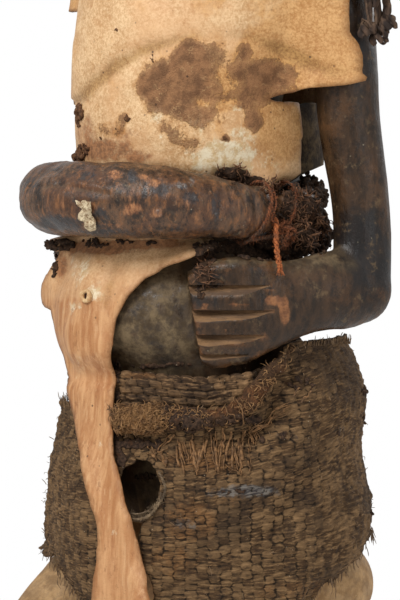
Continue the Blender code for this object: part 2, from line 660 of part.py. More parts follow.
def hide_loops():
    left, right = 106.0, -254.0
    lower = [(101.5, 521.8), (103.5, 500), (left, 468), (92, 466), (70, 464), (52, 452), (40, 441)]
    apron = [(azimuth_at(u, z), z) for u, z in APRON_EDGE_RIGHT + APRON_EDGE_LEFT]
    back = [(-62, 433), (-68, 440), (-80, 447), (-95, 452), (-120, 444), (-150, 438), (-180, 441), (-205, 446), (-230, 458), (right, 466)]
    side = [(right, 500), (right, 520), (-244, 521.9), (-228, 522.4), (-219, 531), (-214, 545), (-213, 575), (-219, 596), (-234, 603), (right, 608)]
    top = [(right, 640), (right, 699)] + [(p, 699) for p in np.arange(-240, 95, 20)] + [(99, 699), (98, 640)]
    flap = [(95.7, 600), (95.7, 563), (97.3, 558), (98.3, 548), (98.6, 536), (97.5, 533.5), (94.5, 531.5), (91, 529.5), (87.5, 527), (84, 525.4), (79, 523.3), (84, 521.9)]
    hole = [(-96, 588), (-86, 586), (-76, 585), (-66, 583), (-60, 563), (-57, 530), (-59, 522.4), (-80, 521.9), (-100, 521.9), (-125, 522.4), (-142, 527), (-146, 543), (-146, 575), (-140, 594), (-126, 603), (-108, 604)]
    return [lower + apron + back + side + top + flap, hole]


def make_hide(mat):
    scale = 80 * math.pi / 180
    loops = [[(p * scale, v) for p, v in loop] for loop in hide_loops()]
    rows = [158, 176, 195, 214, 233, 252, 271, 290, 310, 330, 350, 368, 384, 398, 408, 416, 423, 430, 437, 445, 455, 465, 473, 481, 489, 500, 515,
            535, 553, 572, 590, 603, 613, 625, 639, 657, 680]
    flat, faces = flat_mesh(loops, 20, rows, 0.4)

    def place(s, v):
        return hide_place(s / scale, v)

    return cloth("hide_wrap", flat, faces, place, HIDE_THICK, mat)


# ---- cords and the hanging bundle ---------------------------------------------


def smooth_line(points, steps):
    return resample(points, steps)


def cord_mesh(points, radius, sides, steps):
    line = smooth_line(points, steps)
    along = np.gradient(line, axis=0)
    turn = np.linspace(0, 2 * math.pi, sides, endpoint=False)
    rings, high = [], np.array([0.3, 0.2, 0.93])
    for p, t in zip(line, along):
        t = t / np.linalg.norm(t)
        across = np.cross(t, high)
        across /= np.linalg.norm(across)
        high = np.cross(across, t)
        rings.append(p + np.outer(np.cos(turn) * radius, across) + np.outer(np.sin(turn) * radius, high))
    return loft(rings)


def lashing(phi, radius, lean, turns, start, lift):
    """Points of a turn of cord round the tube at this azimuth."""
    out = []
    for k in range(int(14 * turns) + 1):
        a = math.radians(start + 360 * k / 14)
        at = phi + lean * math.sin(a) * 0.5
        centre = tube_point(at, lift)
        out.append(centre + direction(at) * radius * math.cos(a) + np.array([0, 0, radius * math.sin(a)]))
    return out


KNOT = np.array([92.0, -13.5, 440])
TAIL = [(94, -23.5, 449.5), (96.5, -26, 445), (98, -27.5, 438), (99, -28, 431), (101.5, -29.5, 425), (105.5, -32, 419.5)]
TAIL_DIAMETER = 3.6


def make_tie(mat):
    thick = lashing(79.0, 19.4, 9, 1.0, -60, -8)
    parts = [
        cord_mesh([KNOT] + [tuple(p) for p in thick] + [KNOT], 1.9, 8, 44),
        cord_mesh([KNOT, (89, -5, 439), (80, 1, 440.5), (69, 3, 443.5), (62.2, 4, 455), (65.5, 4, 467), (77, 3, 472), (88, 0, 467), (93, -5, 455), KNOT], 1.9, 8, 34),
        blob(KNOT, (7, 7, 6.5), 12, 8),
    ]
    rough = fused(parts, 1.3, 2)
    fewer(rough, 420)
    rough.name = "tie_cord"
    rough.data.materials.append(mat)
    return rough


def make_tail(mat):
    curve = bpy.data.curves.new("tie_cord_tail", "CURVE")
    curve.dimensions, curve.bevel_depth, curve.bevel_resolution = "3D", TAIL_DIAMETER / 2 * MM, 2
    curve.use_fill_caps = True
    spline = curve.splines.new("POLY")
    line = smooth_line(TAIL, 12)
    spline.points.add(len(line) - 1)
    for point, p in zip(spline.points, line):
        point.co = (*(p * MM), 1)
    obj = bpy.data.objects.new("tie_cord_tail", curve)
    bpy.context.scene.collection.objects.link(obj)
    curve.materials.append(mat)
    return obj


def make_bundle(mat):
    """Dried skin strips: a loop round the neck above the hide, and strips that fall outside the left upper arm."""
    loop = []
    for phi in np.arange(78, 78 + 361, 24):
        r = 42.5 + (4 * math.cos(math.radians(phi - 78)))
        loop.append(direction(phi) * r + np.array([0, 0, 680]))
    parts = [cord_mesh(loop, 3.4, 8, 40)]
    over = [(46, -9, 681), (66, 2, 684), (92, 16, 682), (113, 22, 671), (128.5, 25, 651), (133.5, 26, 622)]
    for k, (dx, dy, end) in enumerate([(0, 0, 560), (-3, -7, 567), (3, 7, 573), (6, -2, 584)]):
        path = [(x + dx * min(1, i / 3), y + dy * min(1, i / 3), z) for i, (x, y, z) in enumerate(over)]
        path += [(133 + dx, 25.5 + dy, 600), (133 + dx * 0.9, 25 + dy, (600 + end) / 2), (133 + dx * 0.9, 25 + dy, end)]
        parts.append(cord_mesh(path, 5.2, 8, 40))
    rough = fused(parts, 2.2, 2)
    fewer(rough, 460)
    rough.name = "skin_bundle"
    rough.data.materials.append(mat)
    return rough


clear_scene()
WOOD = material("wood_patina", (0.055, 0.034, 0.024), 0.38)
HIDE = material("rawhide", (0.56, 0.38, 0.21), 0.62)
STUFFED = material("stuffed_hide", (0.10, 0.045, 0.03), 0.42)
CORD = material("red_cord", (0.30, 0.10, 0.045), 0.85)
FIBRE = material("woven_fibre", (0.13, 0.085, 0.05), 0.9)
DRIED = material("dried_skin", (0.07, 0.05, 0.04), 0.8)

figure = make_figure(WOOD)
figure_tree = tree_of(figure)
FIELD = {}
outer_reach = reach_field(figure_tree)
trunk_reach = reach_field(figure_tree, outward=True)
FIELD["hips"] = blurred(widest(np.where(ZS[None, :] < 372, outer_reach, 0), 3, 2), 2, 1)
FIELD["waist"] = blurred(widest(np.where(ZS[None, :] < 372, outer_reach, 0), 2, 1), 1, 0)
FIELD["trunk"] = blurred(widest(trunk_reach, 2, 2), 1, 1)

belt = make_tube(STUFFED)
band = make_band(FIBRE)
FIELD["hips"] = np.maximum(FIELD["hips"], widest(reach_field(tree_of(band)), 2, 3))
skirt = make_skirt(FIBRE)
over = outer_reach.copy()
for piece in (band, skirt):
    over = np.maximum(over, reach_field(tree_of(piece)))
# the apron lies over the belly, the right hand, the band and the skirt; the arms themselves stay outside the sheet
front = np.abs((PHIS[:, None] + 180 + 8) % 360 - 180) < 92
FIELD["apron"] = blurred(widest(np.where(front & (ZS[None, :] < 437), over, trunk_reach), 3, 2), 1, 1)
hide = make_hide(HIDE)
tie = make_tie(CORD)
tail = make_tail(CORD)
bundle = make_bundle(DRIED)

root = bpy.data.objects.new("power_figure", None)
bpy.context.scene.collection.objects.link(root)
for obj in list(bpy.data.objects):
    if obj.type in ("MESH", "CURVE") and obj is not root:
        obj.parent = root
        if obj.type == "MESH" and not obj.hide_render:
            for polygon in obj.data.polygons:
                polygon.use_smooth = True
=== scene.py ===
import math

import bmesh
import bpy
import numpy as np
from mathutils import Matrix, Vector
from mathutils.bvhtree import BVHTree


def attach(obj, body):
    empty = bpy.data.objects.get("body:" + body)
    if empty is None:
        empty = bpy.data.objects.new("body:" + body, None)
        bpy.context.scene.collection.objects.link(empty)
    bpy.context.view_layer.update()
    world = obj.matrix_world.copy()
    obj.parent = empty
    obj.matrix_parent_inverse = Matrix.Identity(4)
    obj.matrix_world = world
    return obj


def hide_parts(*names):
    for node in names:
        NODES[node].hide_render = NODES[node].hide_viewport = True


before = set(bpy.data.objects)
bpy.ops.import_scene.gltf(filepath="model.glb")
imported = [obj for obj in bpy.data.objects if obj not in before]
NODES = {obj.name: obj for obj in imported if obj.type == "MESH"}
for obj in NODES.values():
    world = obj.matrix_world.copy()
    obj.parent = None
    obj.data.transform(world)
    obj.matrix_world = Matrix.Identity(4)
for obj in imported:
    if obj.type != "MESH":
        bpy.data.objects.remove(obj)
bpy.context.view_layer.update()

MM = 0.001

# ---------------------------------------------------------------- camera, at the photograph's angle

AZ, EL, DIST, TALL = math.radians(45), math.radians(3), 1.55, 0.39
TARGET = np.array([0.0023, 0.0023, 0.395])
CAM_DIR = np.array([math.sin(AZ) * math.cos(EL), -math.cos(AZ) * math.cos(EL), math.sin(EL)])
CAM_AT = TARGET + CAM_DIR * DIST
CAM_RIGHT = np.array([math.cos(AZ), math.sin(AZ), 0.0])
CAM_UP = np.cross(CAM_DIR, CAM_RIGHT)

cam_data = bpy.data.cameras.new("photo_camera")
cam_data.sensor_fit = "VERTICAL"
cam_data.sensor_height = 36
cam_data.lens = 36 * DIST / TALL
cam_data.clip_start, cam_data.clip_end = 0.05, 30
cam = bpy.data.objects.new("photo_camera", cam_data)
bpy.context.scene.collection.objects.link(cam)
cam.location = CAM_AT
cam.rotation_euler = Vector(-CAM_DIR).to_track_quat("-Z", "Y").to_euler()
bpy.context.scene.camera = cam


def pixel_of(points):
    """Where points in millimetres fall in the 400 x 600 frame."""
    d = np.asarray(points, float) * MM - CAM_AT
    depth = -(d @ CAM_DIR)
    k = DIST / depth * 600 / TALL
    return np.stack([200 + (d @ CAM_RIGHT) * k, 300 - (d @ CAM_UP) * k], -1)


def pixel_ray(x, y):
    k = TALL / 600 / DIST
    d = -CAM_DIR + CAM_RIGHT * (x - 200) * k + CAM_UP * (300 - y) * k
    return d / np.linalg.norm(d)


# ---------------------------------------------------------------- noise, in numpy


def lattice(ix, iy, iz, seed):
    n = (ix * 374761393 + iy * 668265263 + iz * 2147483647 + seed * 974634777) & 0xFFFFFFFF
    n = ((n ^ (n >> 13)) * 1274126177) & 0xFFFFFFFF
    n = ((n ^ (n >> 16)) * 2246822519) & 0xFFFFFFFF
    return ((n ^ (n >> 15)) & 0xFFFFFF) / float(0xFFFFFF)


def noise(p, scale, seed=0):
    """Smooth value noise from 0 to 1 over points in millimetres."""
    p = np.asarray(p, float)
    if p.shape[-1] == 2:
        p = np.concatenate([p, np.zeros(p.shape[:-1] + (1,))], -1)
    q = p / scale + 1000.0
    i = np.floor(q).astype(np.int64)
    f = q - i
    f = f * f * f * (f * (f * 6 - 15) + 10)
    out = 0.0
    for a in (0, 1):
        wa = f[..., 0] if a else 1 - f[..., 0]
        for b in (0, 1):
            wb = f[..., 1] if b else 1 - f[..., 1]
            for c in (0, 1):
                wc = f[..., 2] if c else 1 - f[..., 2]
                out = out + wa * wb * wc * lattice(i[..., 0] + a, i[..., 1] + b, i[..., 2] + c, seed)
    return out


def fbm(p, scale, octaves=3, seed=0):
    total, weight, out = 0.0, 1.0, 0.0
    for k in range(octaves):
        out = out + weight * noise(p, scale / 2**k, seed + 17 * k)
        total += weight
        weight *= 0.5
    return out / total


def step(a, b, x):
    t = np.clip((np.asarray(x, float) - a) / (b - a), 0, 1)
    return t * t * (3 - 2 * t)


def bump(x, at, half):
    """A soft bell: 1 at the place, 0 beyond half away."""
    t = np.clip(1 - np.abs((np.asarray(x, float) - at) / half), 0, 1)
    return t * t * (3 - 2 * t)


def blobs(x, y, rows):
    """The largest of soft ellipses: x, y, half width, half height, strength."""
    out = np.zeros(np.shape(x))
    for cx, cy, a, b, s in rows:
        r = np.sqrt(((x - cx) / a) ** 2 + ((y - cy) / b) ** 2)
        out = np.maximum(out, s * (1 - step(0.35, 1.25, r)))
    return out


# ---------------------------------------------------------------- forms


def resample(rows, steps):
    """Catmull-Rom through the rows of a table, evenly by row number."""
    rows = np.array(rows, float)
    t = np.linspace(0, len(rows) - 1, steps)
    i = np.minimum(t.astype(int), len(rows) - 2)
    f = (t - i)[:, None]
    p0, p1, p2, p3 = (rows[np.clip(i + k, 0, len(rows) - 1)] for k in (-1, 0, 1, 2))
    return 0.5 * (2 * p1 + (p2 - p0) * f + (2 * p0 - 5 * p1 + 4 * p2 - p3) * f**2 + (3 * p1 - p0 - 3 * p2 + p3) * f**3)


def loft(rings):
    """Points and faces of a closed skin over rings of equal length, with a fan at both ends."""
    rings = [np.array(r, float) for r in rings]
    n, m = len(rings[0]), len(rings)
    points = np.concatenate(rings + [[rings[0].mean(0)], [rings[-1].mean(0)]])
    j = np.arange(n)
    k = (j + 1) % n
    quads = np.concatenate([np.stack([i * n + j, i * n + k, (i + 1) * n + k, (i + 1) * n + j], 1) for i in range(m - 1)])
    caps = np.concatenate([np.stack([np.full(n, m * n), k, j], 1), np.stack([np.full(n, m * n + 1), (m - 1) * n + j, (m - 1) * n + k], 1)])
    volume = 0.0
    for a, b, c in ((quads[:, 0], quads[:, 1], quads[:, 2]), (quads[:, 0], quads[:, 2], quads[:, 3]), caps.T):
        volume += np.einsum("ij,ij->i", points[a], np.cross(points[b], points[c])).sum()
    if volume < 0:
        quads, caps = quads[:, ::-1], caps[:, ::-1]
    return points, quads.tolist() + caps.tolist()


def upright(sections, sides, steps, squareness=1.0, y=0.0):
    """A skin over level sections: height, half width, front, back."""
    turn = np.linspace(0, 2 * math.pi, sides, endpoint=False)
    c, s = np.cos(turn), np.sin(turn)
    rings = []
    for z, a, front, back in resample(sections, steps):
        x = a * np.sign(c) * np.abs(c) ** squareness
        d = np.where(s > 0, back, front) * np.sign(s) * np.abs(s) ** squareness
        rings.append(np.stack([x, y + d, np.full(sides, z)], 1))
    return loft(rings)


def limb(stations, sides, steps, up=(0, 0, 1)):
    """A skin over sections square to a path: x, y, z, half thickness across, half thickness along up."""
    rows = resample(stations, steps)
    turn = np.linspace(0, 2 * math.pi, sides, endpoint=False)
    along = np.gradient(rows[:, :3], axis=0)
    rings = []
    for row, t in zip(rows, along):
        t = t / np.linalg.norm(t)
        across = np.cross(t, up)
        across /= np.linalg.norm(across)
        high = np.cross(across, t)
        rings.append(row[:3] + np.outer(np.cos(turn) * row[3], across) + np.outer(np.sin(turn) * row[4], high))
    return loft(rings)


def blob(centre, size, sides=28, rows=18):
    turn = np.linspace(0, 2 * math.pi, sides, endpoint=False)
    rings = []
    for lat in np.linspace(-math.pi / 2 + 0.1, math.pi / 2 - 0.1, rows):
        r = math.cos(lat)
        rings.append(np.stack([np.cos(turn) * r * size[0], np.sin(turn) * r * size[1], np.full(sides, math.sin(lat) * size[2])], 1) + np.array(centre, float))
    return loft(rings)


def mirrored(part):
    points, faces = part
    return points * np.array([-1.0, 1.0, 1.0]), [f[::-1] for f in faces]


def both(part):
    return [part, mirrored(part)]


def joined(parts):
    points, faces, start = [], [], 0
    for p, f in parts:
        p = np.asarray(p, float)
        points.append(p)
        faces += [tuple(i + start for i in face) for face in f]
        start += len(p)
    return np.concatenate(points), faces


def tube(line, radius, sides, high=(0.31, 0.22, 0.92), flat=1.0):
    """A skin along points; radius is one number or one for each point."""
    line = np.array(line, float)
    radius = np.broadcast_to(np.asarray(radius, float), (len(line),))
    along = np.gradient(line, axis=0)
    turn = np.linspace(0, 2 * math.pi, sides, endpoint=False)
    rings, high = [], np.array(high, float)
    for p, t, r in zip(line, along, radius):
        t = t / max(np.linalg.norm(t), 1e-9)
        across = np.cross(t, high)
        size = np.linalg.norm(across)
        if size < 1e-6:
            across, size = np.cross(t, (1.0, 0.0, 0.01)), 1.0
        across /= max(size, 1e-9)
        high = np.cross(across, t)
        rings.append(p + np.outer(np.cos(turn) * r, across) + np.outer(np.sin(turn) * r * flat, high))
    return loft(rings)


# ---------------------------------------------------------------- objects


def new_object(name, points, faces, mats=(), smooth=True):
    mesh = bpy.data.meshes.new(name)
    mesh.from_pydata((np.asarray(points, float) * MM).tolist(), [], [tuple(f) for f in faces])
    mesh.validate()
    obj = bpy.data.objects.new(name, mesh)
    bpy.context.scene.collection.objects.link(obj)
    for mat in mats:
        mesh.materials.append(mat)
    if smooth:
        mesh.polygons.foreach_set("use_smooth", np.ones(len(mesh.polygons), bool))
    return obj


def points_of(obj):
    co = np.zeros(len(obj.data.vertices) * 3, np.float32)
    obj.data.vertices.foreach_get("co", co)
    return co.reshape(-1, 3).astype(float) / MM


def normals_of(obj):
    co = np.zeros(len(obj.data.vertices) * 3, np.float32)
    obj.data.vertex_normals.foreach_get("vector", co)
    return co.reshape(-1, 3).astype(float)


def move_points(obj, points):
    obj.data.vertices.foreach_set("co", (np.asarray(points, float) * MM).astype(np.float32).ravel())
    obj.data.update()


def values(obj, name, numbers):
    """A number for each vertex, which the material reads by name."""
    attribute = obj.data.attributes.get(name) or obj.data.attributes.new(name, "FLOAT", "POINT")
    attribute.data.foreach_set("value", np.asarray(numbers, np.float32))


def applied(obj):
    """The object with its modifiers applied."""
    graph = bpy.context.evaluated_depsgraph_get()
    mesh = bpy.data.meshes.new_from_object(obj.evaluated_get(graph))
    old = obj.data
    obj.modifiers.clear()
    obj.data = mesh
    mesh.name = old.name
    bpy.data.meshes.remove(old)
    mesh.polygons.foreach_set("use_smooth", np.ones(len(mesh.polygons), bool))
    return obj


def fused(name, parts, voxel, smoothing, mats=()):
    points, faces = joined(parts)
    obj = new_object(name, points, faces)
    remesh = obj.modifiers.new("fuse", "REMESH")
    remesh.mode, remesh.voxel_size = "VOXEL", voxel * MM
    if smoothing:
        smooth = obj.modifiers.new("soften", "SMOOTH")
        smooth.factor, smooth.iterations = 0.5, smoothing
    applied(obj)
    obj.data.materials.clear()
    for mat in mats:
        obj.data.materials.append(mat)
    return obj


def tree_of(obj):
    mesh = obj.data
    return BVHTree.FromPolygons([v.co.copy() for v in mesh.vertices], [tuple(p.vertices) for p in mesh.polygons])


def curvature(obj, rounds=4):
    """How hollow (above 0) or proud (below 0) each point is, from its neighbours, in millimetres."""
    mesh = obj.data
    edges = np.zeros(len(mesh.edges) * 2, np.int32)
    mesh.edges.foreach_get("vertices", edges)
    a, b = edges.reshape(-1, 2).T
    points, normals = points_of(obj), normals_of(obj)
    n = len(points)
    count = np.maximum(np.bincount(a, minlength=n) + np.bincount(b, minlength=n), 1)
    smooth = points.copy()
    for _ in range(rounds):
        total = np.stack([np.bincount(a, smooth[b, k], n) + np.bincount(b, smooth[a, k], n) for k in range(3)], 1)
        smooth = total / count[:, None]
    return np.einsum("ij,ij->i", smooth - points, normals)


# ---------------------------------------------------------------- materials


def srgb(r, g, b):
    return tuple((c / 255 / 12.92) if c / 255 <= 0.04045 else ((c / 255 + 0.055) / 1.055) ** 2.4 for c in (r, g, b)) + (1.0,)


class Look:
    """A Principled material and short calls for the nodes that feed it."""

    def __init__(self, name, rough=0.6, specular=0.5):
        self.mat = bpy.data.materials.new(name)
        self.mat.use_nodes = True
        self.tree = self.mat.node_tree
        self.shader = self.tree.nodes["Principled BSDF"]
        self.shader.inputs["Roughness"].default_value = rough
        self.shader.inputs["Specular IOR Level"].default_value = specular
        self.place = self.add("ShaderNodeTexCoord").outputs["Object"]

    def add(self, kind, **settings):
        node = self.tree.nodes.new(kind)
        for key, value in settings.items():
            setattr(node, key, value)
        return node

    def put(self, socket, value):
        if isinstance(value, bpy.types.NodeSocket):
            self.tree.links.new(value, socket)
        else:
            socket.default_value = value

    def at(self, stretch=(1, 1, 1), turn=(0, 0, 0)):
        node = self.add("ShaderNodeMapping")
        self.put(node.inputs["Vector"], self.place)
        node.inputs["Scale"].default_value = stretch
        node.inputs["Rotation"].default_value = turn
        return node.outputs["Vector"]

    def noise(self, size_mm, detail=3.0, rough=0.55, place=None, warp=0.0):
        node = self.add("ShaderNodeTexNoise")
        self.put(node.inputs["Vector"], place or self.place)
        node.inputs["Scale"].default_value = 1000.0 / size_mm
        node.inputs["Detail"].default_value = detail
        node.inputs["Roughness"].default_value = rough
        node.inputs["Distortion"].default_value = warp
        return node.outputs["Fac"]

    def cells(self, size_mm, place=None, feature="F1", output="Distance"):
        node = self.add("ShaderNodeTexVoronoi", feature=feature)
        self.put(node.inputs["Vector"], place or self.place)
        node.inputs["Scale"].default_value = 1000.0 / size_mm
        return node.outputs[output]

    def value(self, name):
        return self.add("ShaderNodeAttribute", attribute_name=name).outputs["Fac"]

    def math(self, what, a, b=0.0, c=0.0, clamp=False):
        node = self.add("ShaderNodeMath", operation=what, use_clamp=clamp)
        for socket, v in zip(node.inputs, (a, b, c)):
            self.put(socket, v)
        return node.outputs[0]

    def step(self, x, low, high, a=0.0, b=1.0):
        node = self.add("ShaderNodeMapRange", interpolation_type="SMOOTHSTEP")
        for key, v in (("Value", x), ("From Min", low), ("From Max", high), ("To Min", a), ("To Max", b)):
            self.put(node.inputs[key], v)
        return node.outputs["Result"]

    def mix(self, share, a, b, blend="MIX"):
        node = self.add("ShaderNodeMix", data_type="RGBA", blend_type=blend)
        self.put(node.inputs[0], share)
        self.put(node.inputs[6], a)
        self.put(node.inputs[7], b)
        return node.outputs[2]

    def bump(self, height, depth_mm, normal=None, strength=1.0):
        node = self.add("ShaderNodeBump")
        self.put(node.inputs["Height"], height)
        node.inputs["Distance"].default_value = depth_mm * MM
        node.inputs["Strength"].default_value = strength
        if normal is not None:
            self.put(node.inputs["Normal"], normal)
        return node.outputs["Normal"]

    def finish(self, colour, rough=None, normal=None):
        self.put(self.shader.inputs["Base Color"], colour)
        if rough is not None:
            self.put(self.shader.inputs["Roughness"], rough)
        if normal is not None:
            self.put(self.shader.inputs["Normal"], normal)
        return self.mat


def wood_look():
    k = Look("carved_wood", specular=0.36)
    grain = k.at((1, 1, 0.32))
    broad, middle, fine, long = k.noise(50, 4, 0.62), k.noise(15, 5, 0.7), k.noise(5, 4, 0.68), k.noise(7, 5, 0.68, grain, 0.4)
    hollow, dusty, worn, legs = k.value("hollow"), k.value("dusty"), k.value("worn"), k.value("legs")
    colour = k.mix(k.step(long, 0.34, 0.68), srgb(36, 25, 15), srgb(70, 49, 31))
    colour = k.mix(k.step(k.noise(30, 7, 0.76), 0.5, 0.64, 0, 0.7), colour, srgb(86, 59, 36))
    colour = k.mix(k.step(broad, 0.53, 0.64, 0, 0.8), colour, srgb(26, 25, 26))
    colour = k.mix(k.math("MULTIPLY", k.step(k.noise(12, 7, 0.76), 0.55, 0.66), 0.6), colour, srgb(112, 90, 62))
    colour = k.mix(k.math("MULTIPLY", k.step(k.noise(10, 7, 0.76, k.at((1, 1, 0.5))), 0.46, 0.36), 0.7), colour, srgb(24, 18, 14))
    # edges polished by hands to a warmer wood
    edge = k.math("MULTIPLY", k.step(hollow, -0.15, -0.45), k.step(middle, 0.47, 0.6))
    colour = k.mix(k.math("MULTIPLY", edge, 0.6), colour, srgb(120, 80, 48))
    rub = k.step(k.math("ADD", worn, k.math("MULTIPLY", k.math("SUBTRACT", middle, 0.5), 1.3)), 0.42, 0.72)
    colour = k.mix(k.math("MULTIPLY", rub, 0.85), colour, k.mix(k.step(fine, 0.36, 0.64), srgb(112, 70, 42), srgb(158, 106, 66)))
    # dust in the hollows and on the dusty places; beside the skirt's gap this mask also carries painted shade, a darker
    # dust in place of the pale leg dust
    dust_and_gap_shade = k.math("MAXIMUM", k.step(hollow, 0.1, 0.5, 0, 0.85), dusty)
    dust_and_gap_shade = k.math("MULTIPLY", dust_and_gap_shade, k.math("MAXIMUM", k.step(k.noise(9, 5, 0.7), 0.28, 0.56), k.math("MULTIPLY", legs, 0.8)))
    dust_colour = k.mix(k.step(k.noise(14, 5, 0.72), 0.38, 0.64), srgb(68, 54, 37), srgb(120, 101, 74))
    dust_colour = k.mix(legs, dust_colour, k.mix(k.step(k.noise(11, 5, 0.7), 0.36, 0.66), srgb(158, 123, 83), srgb(198, 160, 114)))
    colour = k.mix(dust_and_gap_shade, colour, dust_colour)
    specks = k.math("MULTIPLY", k.step(k.cells(7.5), 0.085, 0.045), k.step(k.noise(17, 2), 0.53, 0.63))
    colour = k.mix(k.math("MULTIPLY", specks, 0.75), colour, srgb(170, 156, 130))
    rough = k.step(k.noise(24, 6, 0.74), 0.36, 0.64, 0.24, 0.5)
    rough = k.math("MAXIMUM", rough, k.math("MULTIPLY", dust_and_gap_shade, 0.9))
    height = k.math("ADD", k.math("MULTIPLY", long, 0.8), k.math("MULTIPLY", fine, 0.7))
    normal = k.bump(height, 0.7)
    normal = k.bump(k.noise(1.6, 3, 0.6), 0.18, normal)
    return k.finish(colour, rough, normal)


def worn_and_lit_cut_look():
    """Upturned faces of the knife cuts between the fingers: worn, lighter wood, partly painted light because these
    faces turn up towards the light.
    """
    k = Look("cut_wood_worn_and_lit", specular=0.3)
    run = k.at((1, 1, 3.2), (0.0, 0.0, 0.0))
    long = k.noise(9, 4, 0.65, k.at((0.35, 0.35, 2.4)))
    colour = k.mix(k.step(long, 0.35, 0.68), srgb(86, 62, 40), srgb(134, 101, 68))
    colour = k.mix(k.step(k.noise(22, 4, 0.6), 0.52, 0.7, 0, 0.6), colour, srgb(80, 58, 40))
    colour = k.mix(k.step(k.noise(2.6, 3, 0.6, run), 0.58, 0.72, 0, 0.7), colour, srgb(62, 44, 32))
    normal = k.bump(k.math("ADD", long, k.math("MULTIPLY", k.noise(3, 3, 0.6, run), 0.6)), 0.5)
    return k.finish(colour, k.step(long, 0.3, 0.7, 0.55, 0.75), normal)


# ---------------------------------------------------------------- the figure

BASE_RADIUS, BASE_HEIGHT, BASE_Y = 115, 45, -5
TRUNK = [
    (255, 70, 55, 70), (285, 80, 62, 76), (315, 74, 68, 64), (340, 66, 71, 52), (358, 66.5, 74, 46), (377, 73, 88, 43),
    (400, 72, 86, 40), (425, 61, 72, 37), (455, 50.5, 58, 36), (490, 54.5, 54, 41), (530, 62, 56, 50),
    (570, 72, 56, 54), (610, 82, 52, 54), (635, 80, 44, 48), (655, 58, 36, 38), (664, 36, 30, 31),
]
NECK = [(650, 34), (668, 31), (690, 29), (715, 30), (735, 32)]
HEAD = [
    (694, 22, 50, 14), (703, 31, 63, 24), (718, 38, 66, 37), (742, 44, 61, 48), (768, 47, 57, 55),
    (795, 50, 60, 60), (822, 53, 66, 62), (848, 52, 66, 60), (872, 45, 57, 52), (889, 31, 40, 37), (897.5, 13, 17, 16),
]
UPPER_ARM = [
    (80, 16, 634, 27, 26), (90, 20, 616, 26, 26), (100, 28, 580, 21, 22), (102, 31, 540, 20, 21), (104.5, 33, 505, 19.3, 20),
    (109, 38, 460, 17.5, 19), (110, 39, 428, 17.5, 20), (110, 37, 404, 17, 21),
]
FOREARM = [
    (110, 44, 409, 16, 18), (109, 30, 405, 17, 24), (105.5, 8, 404, 17, 25), (101, -6, 401, 15, 24), (95, -18, 398, 13, 26),
    (84, -38, 393, 10.5, 31), (74, -48.5, 390, 9, 33), (65, -57, 389, 8.5, 32), (60.5, -61.5, 388, 7, 30),
]
THUMB = [(62, -61, 414, 6, 6), (71, -53, 417, 8.5, 8), (85, -37, 418, 9, 8.5), (97, -16, 413, 8, 8)]
RIGHT_FOREARM = [
    (110, 44, 409, 16, 18), (109, 30, 405, 17, 24), (105.5, 8, 405, 17, 24), (101, -6, 403, 15, 23), (94, -17, 402, 13, 24),
    (82, -36, 401, 10.5, 27), (72, -46.5, 401, 9, 28), (63, -55, 402, 8.5, 27), (58.5, -59.5, 402, 7, 26),
]
RIGHT_THUMB = [(60, -59, 422, 6, 5), (69, -51, 424, 8, 7), (83, -36, 424, 9, 8), (96, -16, 417, 8, 8)]
FINGER_CUTS = [(408.8, 401.4), (393.3, 386), (378, 368.8), (365.7, 357.7)]
THIGH = [(44, 26, 262, 38, 38), (50, -2, 232, 39, 37), (59, -39, 199, 36, 35), (64, -68, 171, 34, 35), (64, -74, 152, 32, 33)]
SHIN = [(64, -64, 160, 32, 33), (62, -43, 130, 29, 30), (59, -24, 100, 27, 28), (58, -14, 74, 27, 27), (58, -10, 48, 29, 30)]
FOOT = [(58, 22, 60, 20, 16), (58, 0, 62, 27, 20), (60, -36, 60, 31, 17), (63, -66, 56, 33, 13), (65, -88, 52, 31, 9)]
BUTTOCK = (50, 62, 207, 37, 40, 35)


